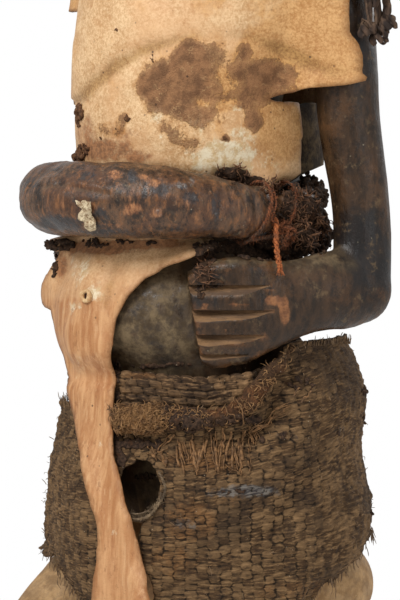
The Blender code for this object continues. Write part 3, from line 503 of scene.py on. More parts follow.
def figure_shapes():
    parts = [upright(TRUNK, 80, 120, 0.92)]
    parts.append(upright([(z, r, r, r) for z, r in NECK], 48, 40))
    for z in (676, 692, 708):
        parts.append(upright([(z - 5, 30, 30, 30), (z, 34.5, 34.5, 34.5), (z + 5, 30, 30, 30)], 56, 12))
    parts.append(upright([(0, 114.6, 114.6, 114.6), (4, 115, 115, 115), (20, 115.6, 115.6, 115.6), (37, 116, 116, 116), (42.5, 113.6, 113.6, 113.6), (45, 108, 108, 108)], 120, 30, 1.0, BASE_Y))
    parts.append(upright(HEAD, 64, 90, 0.94))
    parts.append(upright([(689, 17, 70, -34), (694, 21, 75, -30), (704, 22, 74, -30), (716, 20, 66, -40)], 28, 20, 0.6))
    parts.append(limb([(0, -62, 834, 5, 5), (0, -68, 815, 6, 7), (0, -73, 795, 8, 9), (0, -78, 779, 11, 9), (0, -76, 770, 11, 5)], 24, 30, (0, -1, 0)))
    for side in (1, -1):
        parts.append(blob((side * 22, -54, 800), (17, 13, 9)))
        lid = [(side * (22 + 16.5 * math.cos(a)), -54 - 11.5 * math.sqrt(max(0.05, 1 - math.cos(a) ** 2 * 0.85)), 800 + 1.5 * math.sin(a), 1.3, 1.5) for a in np.linspace(0.15, math.pi - 0.15, 9)]
        parts.append(limb(lid, 8, 30))
        parts.append(blob((side * 6.5, -77, 772.5), (5.2, 6, 4.6)))
        parts.append(limb([(side * 5, -64, 815, 4, 5), (side * 20, -63, 826, 4.5, 5), (side * 36, -52, 820, 4, 4), (side * 44, -38, 806, 3, 3)], 16, 30))
        parts.append(limb([(side * 48, 2, 814, 4, 8), (side * 52, 8, 803, 5, 10), (side * 51, 8, 786, 5, 9), (side * 46, 2, 774, 4, 5)], 16, 24, (0, 1, 0)))
    parts.append(blob((0, -58, 744), (17, 11, 5.5)))
    parts.append(blob((0, -58, 734), (15, 10.5, 5.5)))
    for shape in (
        limb(UPPER_ARM, 44, 120, (0, 1, 0)),
        blob((109.5, 37.5, 405), (19, 21, 22), 40, 28),
        limb(THIGH, 44, 60, (0, 1, 0.4)),
        limb(SHIN, 44, 60, (0, 1, 0)),
        limb(FOOT, 36, 50),
        blob((64, -70, 163), (32, 31, 31), 40, 28),
        blob(BUTTOCK[:3], BUTTOCK[3:], 44, 30),
    ):
        parts += both(shape)
    parts += [limb(FOREARM, 44, 110), limb(THUMB, 24, 40), mirrored(limb(RIGHT_FOREARM, 44, 110)), mirrored(limb(RIGHT_THUMB, 24, 40))]
    for n in range(5):
        x, y = 43 + n * 11.5, -91 - 4 * math.sin(math.pi * (n + 1.2) / 6)
        parts += both(limb([(x, -70, 54, 6, 8), (x, y + 8, 52, 6, 7), (x, y - 3, 50, 4.5, 5)], 16, 16))
    parts.append(blob((0, -86, 374), (9, 8, 10)))
    return parts


def finger_cutter(deep, outer, side):
    """A wedge between two fingers. Its lower face, which slopes out and down, has the second material: the cut face it
    leaves turns up and gets the lighter wood with painted light.
    """
    n, run = np.array([0.70, -0.714, 0.0]), np.array([0.70, 0.714, 0.0])
    middle = np.array([64.5, -65.5, 0.0])
    rings = []
    for at, depth in ((middle - 14 * run, 7.8), (middle + 68 * run, -4.6)):
        low = at + n * 9
        low[2] = outer - (outer - deep) * (-9 / 7.5)
        inner = at - n * depth
        inner[2] = deep
        high = at + n * 9
        high[2] = deep + 0.8
        rings.append([low, inner, high])
    points, faces = loft(rings)
    slope = []
    for f in faces:
        p = points[list(f)]
        normal = np.cross(p[1] - p[0], p[2] - p[0])
        normal /= max(np.linalg.norm(normal), 1e-9)
        slope.append(1 if normal[2] < -0.4 and abs(normal @ run) < 0.7 else 0)
    if side < 0:
        points, faces = mirrored((points + np.array([-2, 2, 11]), faces))
    return points, faces, slope


def flat_below(mesh):
    bm = bmesh.new()
    bm.from_mesh(mesh)
    bmesh.ops.bisect_plane(bm, geom=bm.verts[:] + bm.edges[:] + bm.faces[:], plane_co=(0, 0, 0), plane_no=(0, 0, 1), clear_inner=True, dist=1e-7)
    rim = [e for e in bm.edges if e.is_boundary]
    bmesh.ops.contextual_create(bm, geom=rim)
    bmesh.ops.recalc_face_normals(bm, faces=bm.faces[:])
    bm.to_mesh(mesh)
    bm.free()


def make_figure():
    wood, cut = wood_look(), worn_and_lit_cut_look()
    obj = fused("figure_carved", figure_shapes(), 3.0, 2, [wood])
    obj.data.materials.append(cut)
    # adze and knife facets, left under the polish, on a block that isn't quite even
    p, n = points_of(obj), normals_of(obj)
    facet = 1.1 * (np.abs(fbm(p * [1, 1, 0.55], 26, 2, 3) - 0.5) * 2) + 1.0 * (fbm(p, 44, 2, 9) - 0.5) + 0.3 * (fbm(p * [1, 1, 0.4], 7, 2, 21) - 0.5)
    low = step(2, 9, p[:, 2])
    face = 1 - 0.7 * bump(p[:, 2], 775, 90) * step(0, -30, p[:, 1])
    p -= n * (facet * low * face)[:, None]
    p[:, 2] = np.maximum(p[:, 2], 0.0)
    # drying cracks round the base
    turn = np.degrees(np.arctan2(p[:, 0], -(p[:, 1] - BASE_Y)))
    for at, wide, top, deep in ((28, 1.1, 40, 2.6), (-71, 1.4, 44, 3.0), (133, 1.2, 45, 2.4), (-150, 0.9, 34, 2.0)):
        wander = 3.0 * (noise(np.stack([p[:, 2], p[:, 2] * 0, p[:, 2] * 0], 1), 14, int(at) + 200) - 0.5)
        away = np.abs((turn - at - wander + 180) % 360 - 180)
        crack = (1 - step(0.2, wide, away)) * (p[:, 2] < top) * (np.hypot(p[:, 0], p[:, 1] - BASE_Y) > 96)
        r = np.maximum(np.hypot(p[:, 0], p[:, 1] - BASE_Y), 1)
        p[:, 0] -= crack * deep * p[:, 0] / r
        p[:, 1] -= crack * deep * (p[:, 1] - BASE_Y) / r
    move_points(obj, p)
    flat_below(obj.data)
    cutters = []
    for side in (1, -1):
        for deep, outer in FINGER_CUTS:
            points, faces, slope = finger_cutter(deep, outer, side)
            cutter = new_object("finger_cutter", points, faces, [wood, cut], smooth=False)
            cutter.data.polygons.foreach_set("material_index", slope[: len(cutter.data.polygons)])
            cutters.append(cutter)
    for cutter in cutters:
        carve = obj.modifiers.new("carve", "BOOLEAN")
        carve.operation, carve.solver, carve.object = "DIFFERENCE", "MANIFOLD", cutter
    applied(obj)
    for cutter in cutters:
        bpy.data.objects.remove(cutter, do_unlink=True)
    p, n = points_of(obj), normals_of(obj)
    # the hollow number also rises on the wood under the skirt beside its gap: painted shade there
    values(obj, "hollow", np.clip(0.44 * curvature(obj, 5) + 2.0 * step(0, 0.4, bump(np.degrees(np.arctan2(p[:, 0], -p[:, 1])), 23, 20) * step(198, 226, p[:, 2]) * step(330, 300, p[:, 2])), -1.5, 1.5))
    u, w = 0.7071 * (p[:, 0] + p[:, 1]), 0.7071 * (p[:, 0] - p[:, 1])
    belly = step(-20, -60, p[:, 1]) * (1 - step(52, 66, np.abs(p[:, 0]))) * bump(p[:, 2], 385, 75)
    top = step(0.25, 0.8, n[:, 2]) * step(100, 130, p[:, 2])
    legs = (1 - step(242, 285, p[:, 2])) * 0.9
    # painted shade beside the skirt's gap: the wood under the cloth keeps no pale leg dust there and takes the darker
    # dust instead
    inside = bump(np.degrees(np.arctan2(p[:, 0], -p[:, 1])), 23, 20) * step(198, 226, p[:, 2]) * step(330, 300, p[:, 2])
    under = bump(p[:, 2], 490, 110) * (np.hypot(p[:, 0], p[:, 1]) < 82) * 0.6
    values(obj, "dusty", np.clip(np.maximum.reduce([belly * 1.0, top * 0.9, legs, under]) * (1 - step(0, 0.4, inside)), 0, 1))
    values(obj, "legs", np.clip(legs * 1.3 * (1 - step(0, 0.4, inside)), 0, 1))
    pix = pixel_of(p)
    x, y = pix[:, 0], pix[:, 1]
    rubbed = step(20, 50, w) * blobs(x, y, [
        (285, 312, 8, 22, 0.9), (276, 300, 16, 7, 0.75), (240, 306, 34, 5, 0.6), (222, 331, 26, 4, 0.6), (246, 350, 30, 4, 0.5), (330, 312, 26, 8, 0.35), (262, 290, 24, 4, 0.5), (205, 306, 9, 6, 0.5),
    ])
    values(obj, "worn", rubbed)
    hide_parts("figure")
    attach(obj, "root")
    return obj


# ---------------------------------------------------------------- round the figure, in polar terms (azimuth 0 is its front, 90 its left)

TUBE_CENTRE_Y, TUBE_RING, TUBE_BACK, TUBE_Z = -16, 79, 88, 461
TUBE = [
    (86.5, 2, -8), (86, 8, -8), (84.5, 13, -8), (81, 16, -8), (75, 17.8, -7), (62, 20, -5), (48, 22, -3), (30, 23.6, -1), (0, 24, 0),
    (-30, 24, 0), (-60, 22.5, 1), (-90, 20, 2), (-115, 18, 2), (-135, 17.5, 2), (-180, 17, 1), (-215, 14.5, 0), (-240, 12, -4), (-254, 11, -6),
    (-260, 9.5, -6.5), (-262.5, 7, -7), (-263.5, 2, -7),
]
HIDE_THICK, SKIRT_THICK, BAND_THICK = 1.8, 2.6, 7
CLEAR = 2.2
HIDE_SLIT, HIDE_BEND, HIDE_TOP, NECK_HOLE = 523.5, 600, 674, 37
BAND_TOP, BAND_HEIGHT = 354.5, 24
STEP_PHI, STEP_Z = 3.0, 4.0
PHIS = np.arange(-180.0, 180.0, STEP_PHI)
ZS = np.arange(120.0, 700.0, STEP_Z)


def direction(phi):
    a = math.radians(phi)
    return np.array([math.sin(a), -math.cos(a), 0.0])


def polar(phi, reach, z):
    """Points in millimetres from arrays of azimuth, reach from the axis and height."""
    a = np.radians(phi)
    return np.stack([np.sin(a) * reach, -np.cos(a) * reach, np.broadcast_to(z, np.shape(a)) + 0.0], -1)


def reach_field(tree, outward=False):
    field = np.zeros((len(PHIS), len(ZS)))
    for i, phi in enumerate(PHIS):
        d = direction(phi)
        for j, z in enumerate(ZS):
            if outward:
                hit = tree.ray_cast(Vector((0, 0, z * MM)), Vector(d), 0.3)
            else:
                hit = tree.ray_cast(Vector(d * 0.3) + Vector((0, 0, z * MM)), Vector(-d), 0.3)
            if hit[0] is not None:
                field[i, j] = math.hypot(hit[0].x, hit[0].y) / MM
    return field


def widest(field, i, j):
    out = field.copy()
    for a in range(-i, i + 1):
        shifted = np.roll(field, a, 0)
        for b in range(-j, j + 1):
            moved = np.full_like(field, -1e9)
            if b < 0:
                moved[:, :b] = shifted[:, -b:]
            elif b > 0:
                moved[:, b:] = shifted[:, :-b]
            else:
                moved = shifted
            out = np.maximum(out, moved)
    return out


def blurred(field, i, j, around=True):
    if around:
        out = sum(np.roll(field, a, 0) for a in range(-i, i + 1)) / (2 * i + 1)
    else:
        pad = np.pad(field, ((i, i), (0, 0)), mode="edge")
        out = sum(pad[a : a + field.shape[0]] for a in range(2 * i + 1)) / (2 * i + 1)
    pad = np.pad(out, ((0, 0), (j, j)), mode="edge")
    return sum(pad[:, b : b + out.shape[1]] for b in range(2 * j + 1)) / (2 * j + 1)


def look_up(field, phi, z):
    p = (np.asarray(phi, float) + 180.0) / STEP_PHI
    q = np.clip((np.asarray(z, float) - ZS[0]) / STEP_Z, 0.0, len(ZS) - 1.001)
    i, j = np.floor(p).astype(int), q.astype(int)
    fp, fq = p - i, q - j
    a, b = i % len(PHIS), (i + 1) % len(PHIS)
    return (field[a, j] * (1 - fp) + field[b, j] * fp) * (1 - fq) + (field[a, j + 1] * (1 - fp) + field[b, j + 1] * fp) * fq


def table(x, rows):
    rows = sorted(rows)
    return np.interp(x, [r[0] for r in rows], [r[1] for r in rows])


def wrap(phi):
    return (np.asarray(phi, float) + 180.0) % 360.0 - 180.0


def tube_point(phi, lift):
    p = polar(phi, np.full(np.shape(phi), float(TUBE_RING)), np.full(np.shape(phi), float(TUBE_Z)))
    p[..., 1] = p[..., 1] * np.where(p[..., 1] > 0, TUBE_BACK / TUBE_RING, 1.0) + TUBE_CENTRE_Y
    p[..., 2] += lift
    return p


TUBE_ROWS = resample(TUBE, 240)
TUBE_ROWS[:, 1] = np.maximum(TUBE_ROWS[:, 1], 1.5)
TUBE_LINE = tube_point(TUBE_ROWS[:, 0], TUBE_ROWS[:, 2])


def tube_limit(phi, z, reach):
    """The reach, pulled in where needed so that it passes inside the stuffed tube."""
    phi, z, reach = np.broadcast_arrays(np.asarray(phi, float), np.asarray(z, float), np.asarray(reach, float))
    reach = reach.copy()
    open_ = np.ones(reach.shape, bool)
    for _ in range(90):
        idx = np.nonzero(open_)
        if not len(idx[0]):
            break
        p = polar(phi[idx], reach[idx], z[idx])
        away = np.linalg.norm(TUBE_LINE[None] - p[:, None], axis=2)
        k = away.argmin(1)
        near = away[np.arange(len(k)), k]
        own = TUBE_ROWS[k, 0]
        clear = 4.8 + 3.2 * np.maximum(0.0, 1 - np.abs(wrap(own - 140)) / 30) + 4.2 * np.maximum(0.0, 1 - np.abs(own - 79) / 18) ** 0.5 + 4.5 * np.maximum(0.0, 1 - np.abs(own + 257) / 16) ** 0.5
        fine = (near >= TUBE_ROWS[k, 1] + clear) | ((z[idx] < 437) & (reach[idx] > np.hypot(TUBE_LINE[k, 0], TUBE_LINE[k, 1]) + 4)) | (reach[idx] <= 30)
        flags = open_[idx]
        flags[fine] = False
        open_[idx] = flags
        reach[open_] -= 0.5
    return reach


# ---------------------------------------------------------------- sheets: a grid cut along an outline


def split_loop(loop, longest):
    out = []
    for i, a in enumerate(loop):
        b = loop[(i + 1) % len(loop)]
        n = max(1, math.ceil(math.dist(a, b) / longest))
        out += [(a[0] + (b[0] - a[0]) * k / n, a[1] + (b[1] - a[1]) * k / n) for k in range(n)]
    return out


def depth_inside(p, loops):
    """How far inside the loops each flat point is; below 0 outside."""
    best = np.full(len(p), 1e9)
    odd = np.zeros(len(p), bool)
    for loop in loops:
        loop = np.array(loop, float)
        for a, b in zip(loop, np.roll(loop, -1, 0)):
            d = b - a
            t = np.clip(((p - a) @ d) / max(d @ d, 1e-12), 0, 1)
            best = np.minimum(best, np.hypot(*(p - a - t[:, None] * d).T))
            if a[1] != b[1]:
                crosses = (a[1] > p[:, 1]) != (b[1] > p[:, 1])
                odd ^= crosses & (p[:, 0] < (b[0] - a[0]) * (p[:, 1] - a[1]) / (b[1] - a[1]) + a[0])
    return np.where(odd, best, -best)


def clipped(low, high, pitch, value):
    """Flat points and triangles of a staggered grid where value is above 0, cut along its zero line."""
    rows = np.arange(low[1], high[1] + pitch, pitch * 0.87)
    cols = np.arange(low[0] - pitch, high[0] + pitch, pitch)
    x, y = np.meshgrid(cols, rows, indexing="ij")
    x = x + (np.arange(len(rows)) % 2) * pitch * 0.5
    p = np.stack([x.ravel(), y.ravel()], 1)
    f = value(p)
    near = np.nonzero(np.abs(f) < 0.34 * pitch)[0]
    e = 0.25 * pitch
    gx = (value(p[near] + [e, 0]) - value(p[near] - [e, 0])) / (2 * e)
    gy = (value(p[near] + [0, e]) - value(p[near] - [0, e])) / (2 * e)
    size = np.maximum(gx**2 + gy**2, 0.25)
    p[near] -= np.clip(np.stack([f[near] * gx / size, f[near] * gy / size], 1), -0.4 * pitch, 0.4 * pitch)
    f[near] = 1e-6
    n = len(rows)
    tris = []
    i, j = np.meshgrid(np.arange(len(cols) - 1), np.arange(n - 1), indexing="ij")
    i, j = i.ravel(), j.ravel()
    a, b, c, d = i * n + j, (i + 1) * n + j, (i + 1) * n + j + 1, i * n + j + 1
    even = j % 2 == 0
    tris = np.concatenate([np.stack([a, b, d], 1)[even], np.stack([b, c, d], 1)[even], np.stack([a, b, c], 1)[~even], np.stack([a, c, d], 1)[~even]])
    inside = f > 0
    count = inside[tris].sum(1)
    faces = tris[count == 3].tolist()
    points, cut = p.tolist(), {}

    def crossing(m, k):
        key = (m, k) if m < k else (k, m)
        if key not in cut:
            t = f[m] / (f[m] - f[k])
            cut[key] = len(points)
            points.append([p[m][0] + (p[k][0] - p[m][0]) * t, p[m][1] + (p[k][1] - p[m][1]) * t])
        return cut[key]

    for t in tris[(count == 1) | (count == 2)].tolist():
        ins = [inside[v] for v in t]
        if f[t[0]] == 1e-6 and f[t[1]] == 1e-6 and f[t[2]] <= 0:
            continue
        for turn in range(3):
            a, b, c = t[turn], t[(turn + 1) % 3], t[(turn + 2) % 3]
            ia, ib, ic = ins[turn], ins[(turn + 1) % 3], ins[(turn + 2) % 3]
            if ia and not ib and not ic:
                if f[a] > 1e-5:
                    faces.append([a, crossing(a, b), crossing(a, c)])
                break
            if ia and ib and not ic:
                ends = (crossing(b, c) if f[b] > 1e-5 else b, crossing(a, c) if f[a] > 1e-5 else a)
                face = []
                for v in (a, b, *ends):
                    if v not in face:
                        face.append(v)
                if len(face) > 2:
                    faces.append(face)
                break
    used = sorted({v for face in faces for v in face})
    number = {old: new for new, old in enumerate(used)}
    return np.array([points[v] for v in used]), [tuple(number[v] for v in face) for face in faces]


def thickened(obj, thick):
    bm = bmesh.new()
    bm.from_mesh(obj.data)
    bmesh.ops.remove_doubles(bm, verts=bm.verts[:], dist=1e-6)
    bmesh.ops.recalc_face_normals(bm, faces=bm.faces[:])
    bm.to_mesh(obj.data)
    bm.free()
    thicken = obj.modifiers.new("thickness", "SOLIDIFY")
    thicken.thickness, thicken.offset, thicken.use_even_offset = thick * MM, 0.0, False
    return applied(obj)


def area_of(points, faces):
    total = 0.0
    for f in faces:
        p = points[list(f)]
        total += np.linalg.norm(sum(np.cross(p[k] - p[0], p[k + 1] - p[0]) for k in range(1, len(f) - 1))) / 2
    return total


def line_away(x, y, line):
    """Distance of points to a line through several points, and how far along it they are, from 0 to 1."""
    line = np.array(line, float)
    best, along = np.full(np.shape(x), 1e9), np.zeros(np.shape(x))
    for k in range(len(line) - 1):
        a, d = line[k], line[k + 1] - line[k]
        t = np.clip(((x - a[0]) * d[0] + (y - a[1]) * d[1]) / max(d @ d, 1e-9), 0, 1)
        r = np.hypot(x - a[0] - t * d[0], y - a[1] - t * d[1])
        along = np.where(r < best, (k + t) / (len(line) - 1), along)
        best = np.minimum(best, r)
    return best, along


# ---------------------------------------------------------------- skirt and band places

SKIRT_LEVEL = [(-180, 338), (-120, 334), (-60, 336), (-40, 335), (-18, 324), (20, 313), (50, 311), (66, 314), (74, 324), (80, 343), (86, 359), (95, 364), (120, 370), (150, 366), (180, 338)]
SKIRT_TOP = [(-180, 338), (-120, 334), (-60, 331), (-20, 330.5), (50, 330), (58, 331), (65, 339), (72, 352.5), (78, 362.5), (84, 370), (95, 372), (120, 371), (150, 366), (180, 338)]
SKIRT_HEM = [(-180, 214), (-150, 208), (-120, 216), (-90, 214), (-70, 228), (-45, 232), (-20, 222), (8, 204), (36, 188), (60, 187), (85, 206), (100, 219), (111, 229), (125, 240), (138, 244), (160, 226), (180, 214)]
SKIRT_WEAR = [
    (-160, 5, 7), (-128, 4, 10), (-101, 5, 6), (-78, 4, 9), (-58, 3, 6), (-33, 4, 8), (52, 5, 5), (96, 4, 8), (121, 5, 10), (146, 4, 7), (168, 4, 8),
]
GAP_LEFT, GAP_RIGHT, GAP_TOP = 9.0, 34.0, 246
HOLE = (24.0, 284, 8.8, 17)


def skirt_reach(phi, z):
    phi = np.asarray(phi, float)
    top = table(wrap(phi), SKIRT_LEVEL)
    drop = table(top - z, [(0, -17), (8, -12), (16, -8.5), (32, -4), (50, 0), (90, 2.5), (120, 1), (150, -3)])
    back = table(top - z, [(0, -17), (8, -12.5), (18, -9), (32, -4.5), (51, -6.5), (64, -8), (74, -6.5), (87, -4), (100, -1.5), (113, 0.5), (126, -0.5), (134, -3), (143, -9), (155, -12)])
    share = np.maximum(0.0, np.cos(np.radians(phi - 135))) ** 0.5
    left = np.maximum(0.0, np.cos(np.radians(phi + 45)))
    drop = drop * (1 - share) + back * share - 7 * left**2 * np.clip((top - z - 88) / 32, 0.0, 1.0)
    folds = 1.6 * np.sin(np.radians(5 * phi + 30)) * np.clip((top - z) / 90, 0.0, 1.0) * (1 - share)
    design = 105 + 10 * np.cos(np.radians(phi - 135)) + drop + folds
    return np.maximum(design, look_up(FIELD["hips"], phi, z) + CLEAR + SKIRT_THICK / 2)


def band_height(phi):
    return BAND_TOP - BAND_HEIGHT / 2 + table(wrap(phi), [(-180, 3), (-120, 0), (-60, 0), (20, 0), (50, -3), (75, 2), (95, 9), (130, 18), (160, 12), (180, 3)])


def band_reach(phi):
    z = band_height(phi)
    hold = np.maximum.reduce([look_up(FIELD["waist"], phi, z + k) for k in (-12, 0, 12)])
    return hold + CLEAR * 0.6 + BAND_THICK / 2


# ---------------------------------------------------------------- the hide

SHEET_REACH = [(-254, 71), (-240, 77), (-225, 80), (-200, 73), (-180, 66), (-150, 70), (-120, 76), (-90, 77), (-60, 77), (-45, 77), (0, 78), (45, 79), (80, 79), (106, 78)]
CAPE_HIGH = [(-254, 124), (-245, 120), (-225, 96), (-205, 72), (-180, 66), (-155, 72), (-135, 98), (-118, 122), (-104, 130), (-92, 119), (-78, 99), (-68, 81), (-60, 75), (-52, 71.5), (-45, 70.5), (0, 74), (30, 78), (45, 80), (60, 85), (70, 91), (82, 100), (90, 112), (95.5, 122), (99, 129), (106, 134)]
CAPE_LOW = [(-254, 84), (-225, 80), (-200, 73), (-180, 66), (-150, 70), (-140, 77), (-118, 122), (-104, 130), (-92, 119), (-78, 99), (-68, 84), (-60, 80), (-45, 79.5), (0, 78), (45, 79), (79, 79), (83, 80), (87, 90), (90, 100), (93, 112), (96, 122.5), (99, 131), (106, 135)]
APRON_EDGE_RIGHT = [
    (13, 436), (8, 430), (-3, 426), (-19, 420), (-32, 411), (-42, 400), (-49, 387), (-51, 372), (-51, 356), (-50.5, 340), (-51, 323),
    (-50, 304), (-46, 294), (-42.5, 278), (-38.5, 265), (-33.5, 249), (-29.5, 232.5), (-27, 216), (-27, 200), (-27, 184), (-27, 168), (-31, 154), (-40, 147),
]
APRON_EDGE_LEFT = [
    (-53, 146), (-62, 152), (-67, 166), (-67.5, 184), (-65, 200), (-62.5, 216), (-60.5, 232.5), (-59, 249), (-60.5, 262), (-65, 278), (-70.5, 300), (-75.5, 323),
    (-80, 343), (-86.5, 369), (-91.5, 389), (-98.5, 392), (-99.5, 398), (-98, 405), (-94, 413), (-89, 421), (-86, 427),
]


def cape_reach(phi, v):
    up = np.clip((v - HIDE_SLIT) / (HIDE_BEND - HIDE_SLIT), 0.0, 1.0)
    bulge = 2.5 * np.sin(math.pi * up) * np.maximum(0.0, np.cos(np.radians(phi - 20)))
    return table(phi, CAPE_LOW) * (1 - up) + table(phi, CAPE_HIGH) * up + bulge


def sheet_reach(phi, v):
    """Reach of the hide below the slits."""
    back = np.maximum(0.0, 1 - np.abs(wrap(phi - 132)) / 32) * np.clip((522 - v) * 0.16, 0.0, 5.5)
    sheet = table(phi, SHEET_REACH) + back
    high = sheet - table(v, [(484, 2.5), (500, 0.5), (527, 0)])
    low = look_up(FIELD["apron"], phi, v) + CLEAR + HIDE_THICK / 2 + table(phi, [(-14, 0), (-4, 1), (6, 1), (14, 0)])
    trunk = look_up(FIELD["trunk"], phi, v) + CLEAR + HIDE_THICK / 2
    under = np.maximum(np.where(v >= 437, sheet - 2.5, low), trunk)
    over_skirt = skirt_reach(phi, v) + SKIRT_THICK / 2 + CLEAR + HIDE_THICK / 2
    under = np.where((v < 345) & (np.abs(wrap(phi + 10)) < 70), np.maximum(under, over_skirt), under)
    reach = np.where(v >= 484, high, under)
    low_rows = v < 492
    reach[low_rows] = tube_limit(phi[low_rows], v[low_rows], reach[low_rows])
    return reach


HIDE_PHIS = np.arange(-257.0, 110.0, 2.0)
HIDE_VS = np.arange(138.0, 524.0, 2.5)


def hide_points(phi, v):
    """Where the hide lies: below the bend v is a height, above it v runs in over the shoulder to the neck."""
    q = np.clip((phi - HIDE_PHIS[0]) / 2.0, 0, len(HIDE_PHIS) - 1.001)
    r = np.clip((v - HIDE_VS[0]) / 2.5, 0, len(HIDE_VS) - 1.001)
    i, j = q.astype(int), r.astype(int)
    fq, fr = q - i, r - j
    g = FIELD["sheet"]
    low = (g[i, j] * (1 - fq) + g[i + 1, j] * fq) * (1 - fr) + (g[i, j + 1] * (1 - fq) + g[i + 1, j + 1] * fq) * fr
    mid = cape_reach(phi, v)
    t = np.clip((v - HIDE_BEND) / 100.0, 0, 1) * math.pi / 2
    top = NECK_HOLE + (cape_reach(phi, np.full(np.shape(phi), float(HIDE_BEND))) - NECK_HOLE) * np.maximum(np.cos(t), 0.0) ** 0.62
    height = np.where(v > HIDE_BEND, HIDE_BEND + (HIDE_TOP - HIDE_BEND) * np.sin(t) ** 0.62, v)
    reach = np.where(v > HIDE_BEND, top, np.where(v >= HIDE_SLIT, mid, low))
    return polar(phi, reach, height)


def azimuth_at(sideways, v):
    phi = np.arange(-62.0, 80.0, 0.25)
    p = hide_points(phi, np.full(len(phi), float(v)))
    u = 0.70711 * (p[:, 0] + p[:, 1])
    miss = np.abs(u - sideways)
    if v < 390:
        miss[: np.argmin(u)] = 1e9
    return float(phi[np.argmin(miss)])


def hide_loops():
    left, right = 106.0, -254.0
    lower = [(101.5, 521.8), (103.5, 500), (left, 468), (92, 466), (70, 464), (52, 452), (40, 441)]
    apron = [(azimuth_at(u, z), z) for u, z in APRON_EDGE_RIGHT + APRON_EDGE_LEFT]
    back = [(-62, 433), (-68, 440), (-80, 447), (-95, 452), (-120, 444), (-150, 438), (-180, 441), (-205, 446), (-230, 458), (right, 466)]
    side = [(right, 500), (right, 520), (-244, 521.9), (-228, 522.4), (-219, 531), (-214, 545), (-213, 575), (-219, 596), (-234, 603), (right, 608)]
    top = [(right, 640), (right, 699)] + [(p, 699) for p in np.arange(-240, 95, 20)] + [(99, 699), (98, 640)]
    flap = [(95.7, 600), (95.7, 563), (97.3, 558), (98.3, 548), (98.6, 536), (97.5, 533.5), (94.5, 531.5), (91, 529.5), (87.5, 527), (84, 525.4), (79, 523.3), (84, 521.9)]
    hole = [(-96, 588), (-86, 586), (-76, 585), (-66, 583), (-60, 563), (-57, 530), (-59, 522.4), (-80, 521.9), (-100, 521.9), (-125, 522.4), (-142, 527), (-146, 543), (-146, 575), (-140, 594), (-126, 603), (-108, 604)]
    return [lower + apron + back + side + top + flap, hole]


